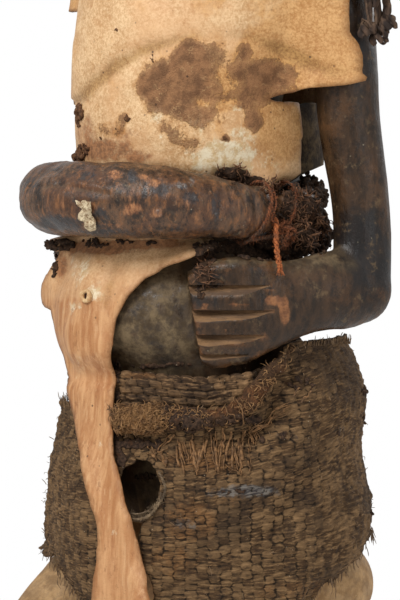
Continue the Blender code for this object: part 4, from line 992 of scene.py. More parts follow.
def hide_look():
    k = Look("rawhide_sheet", specular=0.35)
    stain, pale, dust, crease_soil_and_shade, strip, edge, ochre, soot_and_shade = (k.value(n) for n in ("stain", "pale", "dust", "crease_soil_and_shade", "strip", "edge", "ochre", "soot_and_shade"))
    streaks = k.noise(5.5, 4, 0.6, k.at((1, 1, 0.085)), 0.6)
    broad, middle, fine, grit = k.noise(48, 4, 0.6), k.noise(14, 5, 0.68), k.noise(3.2, 5, 0.7), k.noise(1.1, 3, 0.6)
    mottle = k.math("ADD", k.math("MULTIPLY", k.noise(1.5, 5, 0.75), 0.5), k.math("ADD", k.math("MULTIPLY", fine, 0.25), k.math("MULTIPLY", middle, 0.25)))
    colour = k.mix(k.step(mottle, 0.4, 0.6), srgb(194, 148, 99), srgb(236, 200, 154))
    colour = k.mix(k.step(broad, 0.42, 0.62, 0, 0.5), colour, srgb(226, 176, 128))
    tan = k.math("ADD", ochre, k.math("MULTIPLY", k.math("SUBTRACT", k.noise(24, 8, 0.76), 0.5), 2.6))
    colour = k.mix(k.step(tan, 0.2, 0.75, 0, 0.8), colour, k.mix(k.step(mottle, 0.4, 0.6), srgb(176, 120, 62), srgb(218, 166, 104)))
    colour = k.mix(k.math("MULTIPLY", k.step(k.noise(8, 6, 0.76), 0.57, 0.66), 0.5), colour, srgb(184, 128, 76))
    along = k.mix(k.step(streaks, 0.32, 0.68), srgb(176, 120, 74), srgb(210, 160, 112))
    along = k.mix(k.step(k.noise(17, 7, 0.72, k.at((1, 1, 0.2))), 0.47, 0.64, 0, 0.6), along, srgb(158, 100, 58))
    along = k.mix(k.step(k.noise(2.6, 4, 0.7, k.at((1, 1, 0.06))), 0.54, 0.68, 0, 0.35), along, srgb(224, 182, 136))
    along = k.mix(k.step(k.noise(5, 7, 0.76, k.at((1, 1, 0.4))), 0.56, 0.66, 0, 0.5), along, srgb(134, 86, 50))
    colour = k.mix(strip, colour, along)
    ragged = k.math("MULTIPLY", k.math("SUBTRACT", fine, 0.5), 0.9)
    rag2 = k.math("ADD", ragged, k.math("MULTIPLY", k.math("SUBTRACT", k.noise(13, 8, 0.76), 0.5), 2.0))
    white = k.step(k.math("ADD", pale, rag2), 0.35, 0.75)
    colour = k.mix(k.math("MULTIPLY", white, 0.85), colour, k.mix(k.step(k.noise(6, 6, 0.76), 0.4, 0.6), srgb(206, 178, 132), srgb(238, 226, 196)))
    # painted shade with some soil: darker olive-brown along the creases and folds
    soil_and_shade = k.step(k.math("ADD", crease_soil_and_shade, k.math("MULTIPLY", rag2, 0.5)), 0.15, 0.85)
    colour = k.mix(k.math("MULTIPLY", soil_and_shade, 0.72), colour, k.mix(k.step(mottle, 0.42, 0.58), srgb(128, 90, 46), srgb(178, 134, 76)))
    red = k.step(k.math("ADD", dust, rag2), 0.3, 0.8)
    colour = k.mix(k.math("MULTIPLY", red, 0.85), colour, k.mix(k.step(fine, 0.4, 0.6), srgb(118, 76, 50), srgb(168, 112, 72)))
    frayed = k.math("ADD", k.math("MULTIPLY", k.math("SUBTRACT", k.noise(20, 9, 0.72), 0.5), 2.6), k.math("MULTIPLY", k.math("SUBTRACT", grit, 0.5), 0.3))
    wet = k.math("ADD", stain, frayed)
    halo = k.step(wet, 0.16, 0.56)
    colour = k.mix(k.math("MULTIPLY", halo, 0.6), colour, k.mix(k.step(mottle, 0.44, 0.56), srgb(164, 110, 56), srgb(206, 152, 88)))
    brown = k.math("MULTIPLY", k.math("ADD", k.step(wet, 0.44, 0.6, 0, 0.7), k.step(wet, 0.64, 0.95, 0, 0.3)), 0.93)
    colour = k.mix(brown, colour, k.mix(k.step(k.noise(9, 7, 0.7), 0.38, 0.62), srgb(106, 72, 48), srgb(152, 108, 73)))
    crack = k.math("MULTIPLY", k.step(k.math("ABSOLUTE", k.math("SUBTRACT", k.noise(30, 5, 0.7), 0.5)), 0.012, 0.004), k.step(k.noise(13, 3), 0.5, 0.6))
    colour = k.mix(k.math("MULTIPLY", crack, k.math("MULTIPLY", brown, 0.45)), colour, srgb(200, 160, 112))
    specks = k.math("MULTIPLY", k.step(k.cells(8.5), 0.11, 0.06), k.step(k.noise(23, 2), 0.42, 0.6))
    colour = k.mix(k.math("MULTIPLY", specks, 0.85), colour, srgb(66, 46, 32))
    tiny = k.math("MULTIPLY", k.step(k.cells(3.3), 0.1, 0.05), k.step(k.noise(16, 2), 0.48, 0.62))
    colour = k.mix(k.math("MULTIPLY", tiny, 0.7), colour, srgb(98, 70, 46))
    colour = k.mix(k.math("MULTIPLY", edge, k.step(fine, 0.25, 0.6, 0.25, 0.8)), colour, srgb(128, 82, 44))
    # painted shade with some dirt on the part of the sheet that wraps round behind, beyond the arm: near black and
    # rough
    colour = k.mix(k.math("MULTIPLY", soot_and_shade, 0.97), colour, k.mix(k.step(k.noise(15, 8, 0.75), 0.46, 0.62), srgb(28, 19, 11), srgb(98, 80, 54)))
    rough = k.math("MAXIMUM", k.step(middle, 0.3, 0.7, 0.46, 0.66), k.math("MULTIPLY", k.math("MAXIMUM", k.math("MAXIMUM", brown, soot_and_shade), red), 0.9))
    height = k.math("ADD", k.math("MULTIPLY", middle, 1.2), k.math("MULTIPLY", fine, 0.5))
    height = k.math("ADD", height, k.math("MULTIPLY", k.math("MULTIPLY", streaks, strip), 0.3))
    height = k.math("ADD", height, k.math("MULTIPLY", brown, k.math("MULTIPLY", grit, 1.0)))
    normal = k.bump(grit, 0.22, k.bump(height, 0.7))
    return k.finish(colour, rough, normal)


def make_hide():
    scale = 80 * math.pi / 180
    phi, v = np.meshgrid(HIDE_PHIS, HIDE_VS, indexing="ij")
    FIELD["sheet"] = blurred(sheet_reach(phi, v), 1, 1, around=False)
    loops = [[(p * scale, z) for p, z in loop] for loop in hide_loops()]
    outline = [split_loop(loop, 6) for loop in loops]

    def ragged(p):
        """Cut edges are nearly straight; the flap's lower edge, the hem and the armholes are torn."""
        torn = np.maximum.reduce([
            bump(p[:, 1], 532, 18) * step(80 * scale, 87 * scale, p[:, 0]) * 1.2,
            0.35 * step(470, 455, p[:, 1]),
            0.5 * bump(p[:, 0] / scale, -100, 60) * bump(p[:, 1], 560, 60),
            0.22 * np.ones(len(p)),
        ])
        return depth_inside(p, outline) + torn * (2.4 * (fbm(p, 7, 3, 5) - 0.5) * 2)

    flat, faces = clipped((-254 * scale - 3, 140), (106 * scale + 3, 701), 2.9, ragged)
    base = hide_points(flat[:, 0] / scale, flat[:, 1])
    obj = new_object("hide_sheet", base, faces, [hide_look()])
    p, n, v = points_of(obj), normals_of(obj), flat[:, 1]
    out = base * [1, 1, 0]
    n *= np.sign(np.einsum("ij,ij->i", n, out) + 1e-9)[:, None]
    pix = pixel_of(base)
    x, y = pix[:, 0], pix[:, 1]
    w = 0.70711 * (base[:, 0] - base[:, 1])
    seen = step(-5, 20, w)
    upper, strip = step(512, 524, v), 1 - step(425, 441, v)
    depth = np.maximum(depth_inside(flat, outline), 0)
    # the cape bulges over the chest and its lower edge sinks in along an arch
    arch = [(62, 104), (75, 95), (92, 78), (110, 62), (140, 45), (172, 34), (210, 28), (250, 31), (280, 42), (310, 58), (345, 66)]
    away, along = line_away(x, y, arch)
    above = np.where(y < np.interp(x, [a[0] for a in arch], [a[1] for a in arch]), 1.0, -1.0)
    signed = away * above * 0.65
    strength = table(along, [(0, 0.5), (0.25, 1), (0.45, 0.8), (0.6, 0.35), (0.72, 0.5), (0.85, 0.9), (1, 0.2)]) * seen * upper
    move = strength * (1.9 * step(-9, 9, signed) - 1.7 * np.exp(-(((signed + 4.5) / 5.5) ** 2)) - 0.6)
    # a long crease level with the slit
    crease_line, _ = line_away(x, y, [(178, 101), (205, 104), (240, 102), (270, 99), (300, 98)])
    low_area = seen * (v > 470)
    move += low_area * (0.9 * np.exp(-((crease_line / 2.6) ** 2)) - 0.7 * np.exp(-((line_away(x, y, [(178, 97), (205, 99), (240, 97), (272, 97)])[0] / 2.2) ** 2)))
    # ridge and hollow of the apron
    apron = seen * (v < 445)
    for line, half, high in (
        ([(72, 247), (80, 262), (86, 280), (88, 300)], 8, 1.8), ([(118, 262), (110, 284), (104, 306), (102, 330)], 9, -1.5), ([(96, 262), (98, 285), (98, 312)], 6, 1.3),
        ([(58, 290), (66, 330), (78, 380), (92, 430)], 7, 0.8), ([(104, 400), (112, 460), (122, 520), (134, 580)], 7, 0.9), ([(88, 390), (100, 450), (112, 520), (118, 590)], 7, -0.9),
    ):
        move += apron * high * np.exp(-((line_away(x, y, line)[0] / half) ** 2))
    move += 1.5 * (fbm(base, 46, 2, 31) - 0.5) * 2 * (1 - 0.4 * strip) + 0.45 * (fbm(base, 13, 2, 37) - 0.5) * 2
    move += 0.35 * (fbm(base * [1, 1, 0.2], 12, 2, 41) - 0.5) * strip
    # edges lift a little, unevenly
    lift = (1 - step(0, 9, depth)) * (noise(base, 24, 51) * 2.0 - 0.35)
    lift *= np.where(strip > 0.5, 0.6, 1.0) * np.where((v > 437) & (v < 470), 0.1, 1.0)
    inner = np.where((v < 500) & (v > 425), np.clip(move, -0.6, 0.8), move + lift)
    behind = step(10, -25, w) * (v < 523)
    inner = inner * (1 - 0.4 * behind)
    move_points(obj, p + n * inner[:, None])
    area = area_of(points_of(obj), faces)
    upper_left = seen * step(470, 480, v)
    values(obj, "stain", upper_left * blobs(x, y, [
        (172, 84, 36, 30, 1.5), (190, 62, 27, 24, 1.4), (208, 62, 20, 22, 0.8), (160, 92, 24, 18, 1.4), (184, 112, 22, 14, 0.9), (174, 106, 22, 12, 1.1), (198, 118, 20, 13, 0.75), (208, 88, 24, 20, 0.7),
        (182, 134, 18, 18, 0.6), (191, 145, 14, 11, 0.75), (240, 82, 20, 32, 0.95), (244, 52, 10, 14, 0.85), (270, 78, 34, 22, 1.25), (288, 74, 16, 14, 1.1), (250, 101, 28, 13, 0.8),
        (252, 119, 12, 18, 0.8), (225, 138, 5, 4.5, 1.3), (268, 94, 30, 13, 0.85), (288, 92, 20, 8, 0.7), (222, 95, 20, 14, 0.7), (124, 119, 9, 11, 0.8), (112, 130, 16, 10, 0.6), (226, 72, 14, 18, 0.45), (170, 100, 32, 20, 1.1),
        (212, 116, 22, 16, 0.5), (170, 122, 14, 16, 0.45),
    ]) * (1 - 0.6 * bump(x, 226, 20) * bump(y, 88, 26)))
    values(obj, "ochre", np.clip(upper_left * (0.15 + 0.75 * step(150, 330, x) * step(190, 90, y + 0 * x) + blobs(x, y, [(228, 88, 26, 20, 0.8), (285, 130, 24, 40, 0.7), (215, 104, 30, 8, 0.9), (300, 40, 50, 30, 0.4), (340, 80, 26, 20, 0.5)])
        - blobs(x, y, [(232, 20, 12, 26, 0.7), (130, 20, 60, 30, 0.5)])) + (1 - seen) * 0.5 + 0.9 * bump(x, 68, 12) * step(30, 5, y), 0, 1))
    # painted shade with some dirt: the sheet's far end, which wraps round behind the arm
    values(obj, "soot_and_shade", step(0.35, 0.65, step(-196, -226, flat[:, 0] / scale) + 0.9 * (fbm(base, 15, 3, 79) - 0.5)) * (v < 523.4))
    values(obj, "pale", np.clip(upper_left * blobs(x, y, [
        (222, 158, 42, 26, 0.85), (205, 128, 20, 18, 0.55), (158, 112, 9, 14, 0.75), (208, 109, 22, 6, 0.6), (240, 135, 18, 16, 0.55), (268, 165, 20, 18, 0.5), (245, 20, 12, 14, 0.3), (165, 140, 10, 14, 0.5),
        (236, 108, 9, 6, 0.6),
    ]) + apron * blobs(x, y, [(82, 272, 14, 22, 0.55), (96, 292, 12, 14, 0.5), (76, 312, 14, 14, 0.45), (102, 450, 5, 34, 0.3), (112, 532, 8, 22, 0.2), (134, 562, 6, 16, 0.25), (80, 372, 7, 30, 0.3)]), 0, 1))
    values(obj, "dust", np.clip(upper_left * blobs(x, y, [
        (104, 150, 34, 16, 0.9), (138, 156, 24, 9, 0.75), (88, 138, 14, 28, 0.6), (120, 134, 20, 12, 0.6), (160, 160, 22, 6, 0.4), (270, 186, 24, 8, 0.35),
    ]) + apron * blobs(x, y, [(100, 248, 60, 9, 1.0), (150, 244, 50, 7, 1.0), (62, 262, 9, 22, 0.75), (52, 300, 6, 14, 0.5), (110, 300, 9, 20, 0.35)])
        + 0.35 * (1 - seen) * step(0.45, 0.7, fbm(base, 60, 2, 77)) + 0.6 * bump(v, 445, 40) * (1 - seen), 0, 1))
    # painted shade with soil along the arch, the slit crease and the apron's valley, and in a few patches
    soil_and_shade = strength * np.exp(-(((signed + 4.0) / 5.0) ** 2)) * 0.95
    soil_and_shade = np.maximum(soil_and_shade, low_area * 0.8 * np.exp(-((line_away(x, y, [(178, 97), (205, 99), (240, 97), (280, 97), (300, 97)])[0] / 2.0) ** 2)))
    soil_and_shade = np.maximum(soil_and_shade, apron * 0.5 * np.exp(-((line_away(x, y, [(116, 264), (110, 284), (104, 306)])[0] / 7) ** 2)))
    values(obj, "crease_soil_and_shade", np.clip(soil_and_shade + 0.5 * upper_left * blobs(x, y, [(290, 60, 30, 24, 0.7), (215, 60, 14, 18, 0.8), (300, 140, 10, 45, 0.6), (330, 75, 22, 12, 0.6), (258, 175, 40, 10, 0.25)]), 0, 1))
    values(obj, "strip", strip * np.where(y < 300, np.clip((y - 240) / 80, 0, 1), 1.0) * np.ones(len(x)))
    values(obj, "edge", (1 - step(0.2, 2.6, depth)) * 0.85)
    thickened(obj, HIDE_THICK)
    print("HIDE area m2", area * 1e-6, "flat", len(flat), "faces", len(obj.data.polygons))
    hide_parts("hide_wrap")
    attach(obj, "root")
    return obj


def fields():
    trees = {n: tree_of(NODES[n]) for n in ("figure", "waist_band", "skirt")}
    outer, trunk = reach_field(trees["figure"]), reach_field(trees["figure"], outward=True)
    low = np.where(ZS[None, :] < 372, outer, 0)
    FIELD["waist"] = blurred(widest(low, 2, 1), 1, 0)
    FIELD["trunk"] = blurred(widest(trunk, 2, 2), 1, 1)
    band, skirt = reach_field(trees["waist_band"]), reach_field(trees["skirt"])
    FIELD["hips"] = np.maximum(blurred(widest(low, 3, 2), 2, 1), widest(band, 2, 3))
    over = np.maximum.reduce([outer, band, skirt])
    front = np.abs((PHIS[:, None] + 180 + 8) % 360 - 180) < 92
    FIELD["apron"] = blurred(widest(np.where(front & (ZS[None, :] < 437), over, trunk), 3, 2), 1, 1)


FIELD = {}


# ---------------------------------------------------------------- placing by the photograph's pixels, always on a surface


def landing(x, y, trees, lift=0.0):
    """Where the sight line through a pixel first meets one of the trees, in millimetres, and the way out of that surface."""
    at, ray = Vector(CAM_AT), Vector(pixel_ray(x, y))
    best = None
    for tree in trees:
        hit = tree.ray_cast(at, ray, 4.0)
        if hit[0] is not None and (best is None or hit[3] < best[3]):
            best = hit
    if best is None:
        return None, None
    n = np.array(best[1])
    if n @ CAM_DIR < 0:
        n = -n
    return np.array(best[0]) / MM + n * lift, n


def nearest(p, trees):
    """The nearest surface point to a point in millimetres."""
    best = min((t.find_nearest(Vector(np.asarray(p) * MM)) for t in trees), key=lambda h: h[3])
    return np.array(best[0]) / MM, np.array(best[1])


def ball():
    bm = bmesh.new()
    bmesh.ops.create_icosphere(bm, subdivisions=1, radius=1.0)
    points = np.array([v.co for v in bm.verts])
    faces = [tuple(v.index for v in f.verts) for f in bm.faces]
    bm.free()
    return points, faces


BALL = ball()


def grain(at, size, rng):
    """A crumb: a small lump of uneven size in each direction."""
    points, faces = BALL
    turn = np.linalg.qr(rng.normal(size=(3, 3)))[0]
    if np.linalg.det(turn) < 0:
        turn[:, 0] *= -1
    shape = points * (size * rng.uniform(0.6, 1.25, 3)) * rng.uniform(0.82, 1.18, (len(points), 1))
    return shape @ turn.T + at, faces


def strand(points, radius, sides=5, steps=None, flat=1.0, taper=True):
    line = resample(points, steps or max(6, 3 * len(points)))
    size = np.full(len(line), float(radius))
    if taper:
        size *= np.minimum(1.0, np.linspace(3.0, 0.35, len(line)))
    return tube(line, size, sides, flat=flat)


def crust_look(name, dark, light, seed=0):
    k = Look(name, 0.92, 0.2)
    fine = k.noise(2.2, 5, 0.75)
    colour = k.mix(k.step(fine, 0.36, 0.68), dark, light)
    colour = k.mix(k.step(k.noise(6, 3, 0.6), 0.56, 0.7, 0, 0.6), colour, srgb(92, 62, 40))
    colour = k.mix(k.math("MULTIPLY", k.step(k.cells(2.4), 0.16, 0.08), k.step(k.noise(9, 2), 0.52, 0.62)), colour, srgb(150, 138, 118))
    return k.finish(colour, 0.92, k.bump(fine, 0.5, k.bump(k.noise(0.8, 3, 0.7), 0.25)))


def make_crust(name, places, trees, mat, seed, voxel=0.75):
    """Clumps of dried matter. Each place: pixel x, y, half width, half height in pixels, number of crumbs, crumb size, height of the pile."""
    rng = np.random.default_rng(seed)
    parts = []
    for cx, cy, a, b, count, size, high in places:
        for _ in range(count):
            r, t = math.sqrt(rng.uniform(0, 1)), rng.uniform(0, 2 * math.pi)
            x, y = cx + a * r * math.cos(t), cy + b * r * math.sin(t)
            at, n = landing(x, y, trees)
            if at is None:
                continue
            s = size * rng.uniform(0.55, 1.3)
            parts.append(grain(at + n * (s * 0.2 + high * rng.uniform(0, 1) * (1 - r * 0.8)), s, rng))
    obj = fused(name, parts, voxel, 1, [mat])
    p, n = points_of(obj), normals_of(obj)
    move_points(obj, p + n * ((fbm(p, 2.4, 2, seed) - 0.5) * 0.9)[:, None])
    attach(obj, "root")
    return obj


# ---------------------------------------------------------------- the stuffed tube round the waist


def belt_look():
    k = Look("stuffed_tube", specular=0.42)
    worn, painted_sheen, dark = k.value("worn"), k.value("painted_sheen"), k.value("dark")
    broad, middle, fine = k.noise(34, 4, 0.62), k.noise(9, 6, 0.74, k.at((1, 1, 0.6))), k.noise(3, 4, 0.7)
    upright = k.noise(3.4, 5, 0.72, k.at((1, 1, 0.3)))
    colour = k.mix(k.step(middle, 0.38, 0.62), srgb(40, 29, 21), srgb(104, 75, 52))
    colour = k.mix(k.step(broad, 0.46, 0.64, 0, 0.6), colour, srgb(92, 58, 37))
    colour = k.mix(k.step(upright, 0.52, 0.64, 0, 0.75), colour, srgb(136, 90, 54))
    colour = k.mix(k.step(upright, 0.46, 0.36, 0, 0.8), colour, srgb(30, 23, 19))
    colour = k.mix(k.step(k.noise(6, 7, 0.78), 0.58, 0.66, 0, 0.6), colour, srgb(134, 116, 92))
    ragged = k.math("MULTIPLY", k.math("SUBTRACT", fine, 0.5), 0.7)
    rag2 = k.math("ADD", ragged, k.math("MULTIPLY", k.math("SUBTRACT", k.noise(9, 9, 0.82, k.at((1, 1, 0.45))), 0.5), 3.6))
    black = k.math("MAXIMUM", k.step(k.noise(19, 6, 0.74), 0.54, 0.64, 0, 0.8), k.step(k.math("ADD", dark, rag2), 0.3, 0.75))
    colour = k.mix(k.math("MULTIPLY", black, 0.9), colour, k.mix(k.step(fine, 0.4, 0.6), srgb(30, 27, 28), srgb(56, 52, 52)))
    warm = k.step(k.math("ADD", worn, rag2), 0.3, 1.15)
    colour = k.mix(k.math("MULTIPLY", warm, 0.85), colour, k.mix(k.step(upright, 0.4, 0.6), srgb(112, 66, 38), srgb(188, 130, 86)))
    # painted sheen: grey highlights on the glossy skin
    sheen_mask = k.step(k.math("ADD", painted_sheen, rag2), 0.4, 1.1)
    colour = k.mix(k.math("MULTIPLY", sheen_mask, 0.8), colour, k.mix(k.step(fine, 0.46, 0.66), srgb(62, 64, 70), srgb(160, 156, 150)))
    specks = k.math("MULTIPLY", k.step(k.cells(5.2), 0.1, 0.05), k.step(k.noise(15, 2), 0.46, 0.62))
    colour = k.mix(k.math("MULTIPLY", specks, 0.8), colour, srgb(172, 156, 132))
    dust = k.math("MULTIPLY", k.step(k.value("hollow"), 0.05, 0.5), k.step(fine, 0.35, 0.6))
    colour = k.mix(k.math("MULTIPLY", dust, 0.7), colour, srgb(98, 78, 60))
    rough = k.step(k.noise(12, 6, 0.74), 0.38, 0.62, 0.24, 0.5)
    rough = k.math("MAXIMUM", rough, k.math("MULTIPLY", dust, 0.8))
    height = k.math("ADD", k.math("MULTIPLY", middle, 1.1), k.math("MULTIPLY", fine, 0.55))
    normal = k.bump(k.noise(1.2, 3, 0.6), 0.14, k.bump(height, 0.75))
    return k.finish(colour, rough, normal)


BELT = [(86.9, 3, -8), (86.7, 9, -8), (86, 13.5, -8), (84.2, 16.2, -8), (80.5, 17.6, -8)] + TUBE[4:]


def make_belt():
    steps, sides = ((430, 92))
    rows = resample(BELT, steps)
    rows[:, 1] = np.maximum(rows[:, 1], 1.5)
    path = tube_point(rows[:, 0], rows[:, 2])
    along = np.gradient(path, axis=0)
    along /= np.linalg.norm(along, axis=1)[:, None]
    turn = np.linspace(0, 2 * math.pi, sides, endpoint=False)
    rings = []
    for (phi, radius, _), p, t in zip(rows, path, along):
        across = np.cross(t, (0, 0, 1))
        across /= np.linalg.norm(across)
        high = np.cross(across, t)
        # a slack skin: slightly flattened faces that wander round as it goes
        shape = 1 + 0.022 * np.cos(4 * turn + 0.05 * phi) + 0.016 * np.cos(3 * turn - 0.09 * phi + 1)
        rings.append(p + np.outer(np.cos(turn) * radius * shape, across) + np.outer(np.sin(turn) * radius * 0.97 * shape, high))
    points, faces = loft(rings)
    obj = new_object("belt_skin", points, faces, [belt_look()])
    p, n = points_of(obj), normals_of(obj)
    pix = pixel_of(p)
    x, y = pix[:, 0], pix[:, 1]
    w = 0.70711 * (p[:, 0] - p[:, 1])
    seen = step(0, 20, w)
    move = 2.2 * (fbm(p, 38, 2, 61) - 0.5) * 2 + 1.2 * (fbm(p, 14, 3, 67) - 0.5) * 2 + 0.4 * (fbm(p * [1, 1, 0.4], 4, 2, 69) - 0.5) * 2 - 0.4
    for line, half, deep in (
        ([(42, 186), (62, 186), (84, 190), (106, 194)], 3.2, -1.3), ([(46, 179), (66, 178), (86, 184), (110, 189)], 4.0, 0.8), ([(222, 176), (221, 200), (223, 238)], 1.6, -0.55),
        ([(190, 178), (200, 194), (214, 205), (222, 206)], 3.0, -0.7), ([(236, 196), (243, 194), (246, 203)], 1.6, -0.8), ([(160, 208), (176, 214), (200, 216)], 4, -0.6),
        ([(250, 186), (257, 200), (258, 222), (250, 234)], 3.5, -0.8), ([(120, 196), (150, 199), (180, 203)], 7, 0.6), ([(100, 168), (101, 185), (96, 200)], 2.0, -0.5),
    ):
        move += seen * deep * np.exp(-((line_away(x, y, line)[0] / half) ** 2))
    wrinkle = np.sin(p @ np.array([0.5, 0.45, 0.12]) + 6 * fbm(p, 22, 2, 71))
    behind = step(10, -30, w)
    move += 0.35 * wrinkle * behind
    # the drawn-in ends are puckered
    for end, half in ((86.5, 9), (-263.5, 10)):
        e = direction(end) * TUBE_RING + np.array([0, TUBE_CENTRE_Y, TUBE_Z - 8])
        away = np.linalg.norm(p - e, axis=1)
        spin = np.arctan2(p[:, 2] - e[2], (p - e) @ np.array([math.cos(math.radians(end)), math.sin(math.radians(end)), 0]) * 0 + (p[:, 0] - e[0]))
        move += 0.5 * np.sin(7 * spin) * (1 - step(6, 24, away)) * step(2, 7, away)
    move_points(obj, p + n * move[:, None])
    values(obj, "hollow", np.clip(curvature(obj, 6), -1.5, 1.5))
    values(obj, "worn", seen * blobs(x, y, [
        (115, 176, 11, 6, 1.0), (144, 178, 8, 5, 0.8), (154, 183, 8, 5, 0.85), (133, 209, 11, 8, 0.95), (157, 213, 9, 6, 0.8), (90, 207, 9, 8, 0.7), (110, 226, 22, 5, 0.45), (88, 222, 12, 6, 0.6),
        (236, 196, 10, 8, 0.4), (118, 190, 16, 4, 0.5), (62, 206, 12, 10, 0.4), (76, 188, 20, 6, 0.45), (200, 216, 16, 8, 0.45), (182, 203, 14, 6, 0.5), (128, 196, 30, 6, 0.4), (244, 222, 14, 8, 0.35), (100, 178, 10, 6, 0.5), (172, 176, 10, 5, 0.4), (150, 167, 30, 3, 0.3), (225, 183, 24, 3, 0.45), (170, 196, 8, 5, 0.4), (262, 206, 5, 14, 0.4),
    ]))
    # painted sheen: where the glossy skin shows grey highlights
    values(obj, "painted_sheen", seen * blobs(x, y, [
        (180, 186, 15, 6, 0.95), (190, 181, 8, 5, 0.8), (163, 213, 14, 5, 0.55), (55, 182, 16, 5, 0.45), (95, 173, 16, 5, 0.5), (131, 178, 6, 8, 0.45), (218, 217, 10, 8, 0.45), (40, 200, 12, 8, 0.3), (196, 199, 6, 4, 0.4),
    ]))
    values(obj, "dark", np.clip(seen * blobs(x, y, [
        (60, 222, 26, 10, 0.9), (88, 176, 14, 8, 0.6), (132, 176, 6, 10, 0.85), (190, 198, 12, 8, 0.75), (216, 206, 6, 26, 0.6), (100, 214, 10, 10, 0.7), (160, 190, 14, 8, 0.5), (112, 232, 40, 5, 0.65), (180, 226, 20, 6, 0.5), (34, 182, 10, 8, 0.5),
    ]), 0, 1))
    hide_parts("belt_tube")
    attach(obj, "root")
    return obj


def patch(name, outline, tree, lift, crumple, thick, mat, seed, pitch=1.6):
    """A scrap that clings to a surface: an outline in pixels, laid on the surface and crumpled."""
    outline = [split_loop(outline, 3)]
    low, high = np.min(outline[0], 0) - 2, np.max(outline[0], 0) + 2

    def value(p):
        return depth_inside(p, outline) + 1.6 * (noise(p, 5, seed) - 0.5)

    flat, faces = clipped(low, high, pitch, value)
    points, good = [], []
    for x, y in flat:
        at, n = landing(x, y, [tree])
        good.append(at is not None)
        points.append(np.zeros(3) if at is None else at + n * (lift + crumple * (noise(np.array([[x, y, 0.0]]), 7, seed + 3)[0] + 0.4 * noise(np.array([[x, y, 0.0]]), 3, seed + 5)[0])))
    obj = new_object(name, points, [f for f in faces if all(good[v] for v in f)], [mat])
    bm = bmesh.new()
    bm.from_mesh(obj.data)
    bmesh.ops.delete(bm, geom=[v for v in bm.verts if not v.link_faces], context="VERTS")
    bm.to_mesh(obj.data)
    bm.free()
    thickened(obj, thick)
    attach(obj, "root")
    return obj


# ---------------------------------------------------------------- the red cord


def cord_look(name="twisted_cord", light=1.0):
    k = Look(name, 0.85, 0.25)
    fine, broad = k.noise(1.1, 4, 0.7), k.noise(7, 4, 0.65)
    low, high = (srgb(74, 46, 32), srgb(142, 84, 52)) if light <= 1 else (srgb(118, 64, 38), srgb(198, 116, 66))
    colour = k.mix(k.step(fine, 0.35, 0.65), low, high)
    colour = k.mix(k.step(broad, 0.47, 0.6, 0, 0.85 / light**3), colour, k.mix(k.step(fine, 0.4, 0.6), srgb(50, 42, 38), srgb(96, 74, 56)))
    colour = k.mix(k.step(k.noise(3.4, 4, 0.7), 0.59, 0.67, 0, 0.7 * light), colour, srgb(200, 122, 74))
    return k.finish(colour, 0.85, k.bump(fine, 0.35))


def plied(line, radius, plies, pitch, sides=7, fuzz=0.0, seed=1, steps=None):
    """Twisted plies round a line; returns the parts."""
    line = resample(line, steps or 6 * len(line))
    gaps = np.linalg.norm(np.diff(line, axis=0), axis=1)
    run = np.concatenate([[0], np.cumsum(gaps)])
    count = max(12, int(run[-1] / 0.7))
    even = np.stack([np.interp(np.linspace(0, run[-1], count), run, line[:, k]) for k in range(3)], 1)
    along = np.gradient(even, axis=0)
    along /= np.linalg.norm(along, axis=1)[:, None]
    high = np.array([0.31, 0.22, 0.92])
    parts = []
    frames = []
    for t in along:
        across = np.cross(t, high)
        across /= np.linalg.norm(across)
        high = np.cross(across, t)
        frames.append((across, high))
    ply = radius / (1 + 1 / math.sin(math.pi / plies)) if plies > 2 else radius / 2
    ply *= 1.12
    off = radius - ply
    where = np.linspace(0, run[-1], count)
    rng = np.random.default_rng(seed)
    for m in range(plies):
        a = 2 * math.pi * (where / pitch + m / plies) + rng.uniform(-0.2, 0.2)
        path = np.array([p + off * (math.cos(t) * f[0] + math.sin(t) * f[1]) for p, t, f in zip(even, a, frames)])
        path += (np.stack([noise(even, 5, seed + m), noise(even, 5, seed + m + 9), noise(even, 5, seed + m + 19)], 1) - 0.5) * radius * 0.3
        parts.append(tube(path, ply * (0.92 + 0.16 * noise(even, 3, seed + 40)), sides))
    for _ in range(int(fuzz * run[-1])):
        k = rng.integers(2, count - 2)
        a = rng.uniform(0, 2 * math.pi)
        out = math.cos(a) * frames[k][0] + math.sin(a) * frames[k][1]
        root = even[k] + out * radius * 0.8
        tip = root + (out * rng.uniform(0.6, 1.6) + along[k] * rng.uniform(-1.6, 1.6)) * rng.uniform(0.8, 1.9)
        mid = (root + tip) / 2 + rng.normal(size=3) * 0.4
        parts.append(strand([root, mid, tip], 0.14, 3, 5))
    return parts, even


KNOT = np.array([92.0, -13.5, 440])
TAIL = [(94, -23.5, 449.5), (96.5, -26, 445), (98, -27.5, 438), (99, -28, 431), (101.5, -29.5, 425), (105.5, -32, 419.5)]


def lashing(phi, radius, lean, turns, start, lift):
    out = []
    for k in range(int(14 * turns) + 1):
        a = math.radians(start + 360 * k / 14)
        at = phi + lean * math.sin(a) * 0.5
        centre = tube_point(np.array([at]), lift)[0]
        out.append(centre + direction(at) * radius * math.cos(a) + np.array([0, 0, radius * math.sin(a)]))
    return out


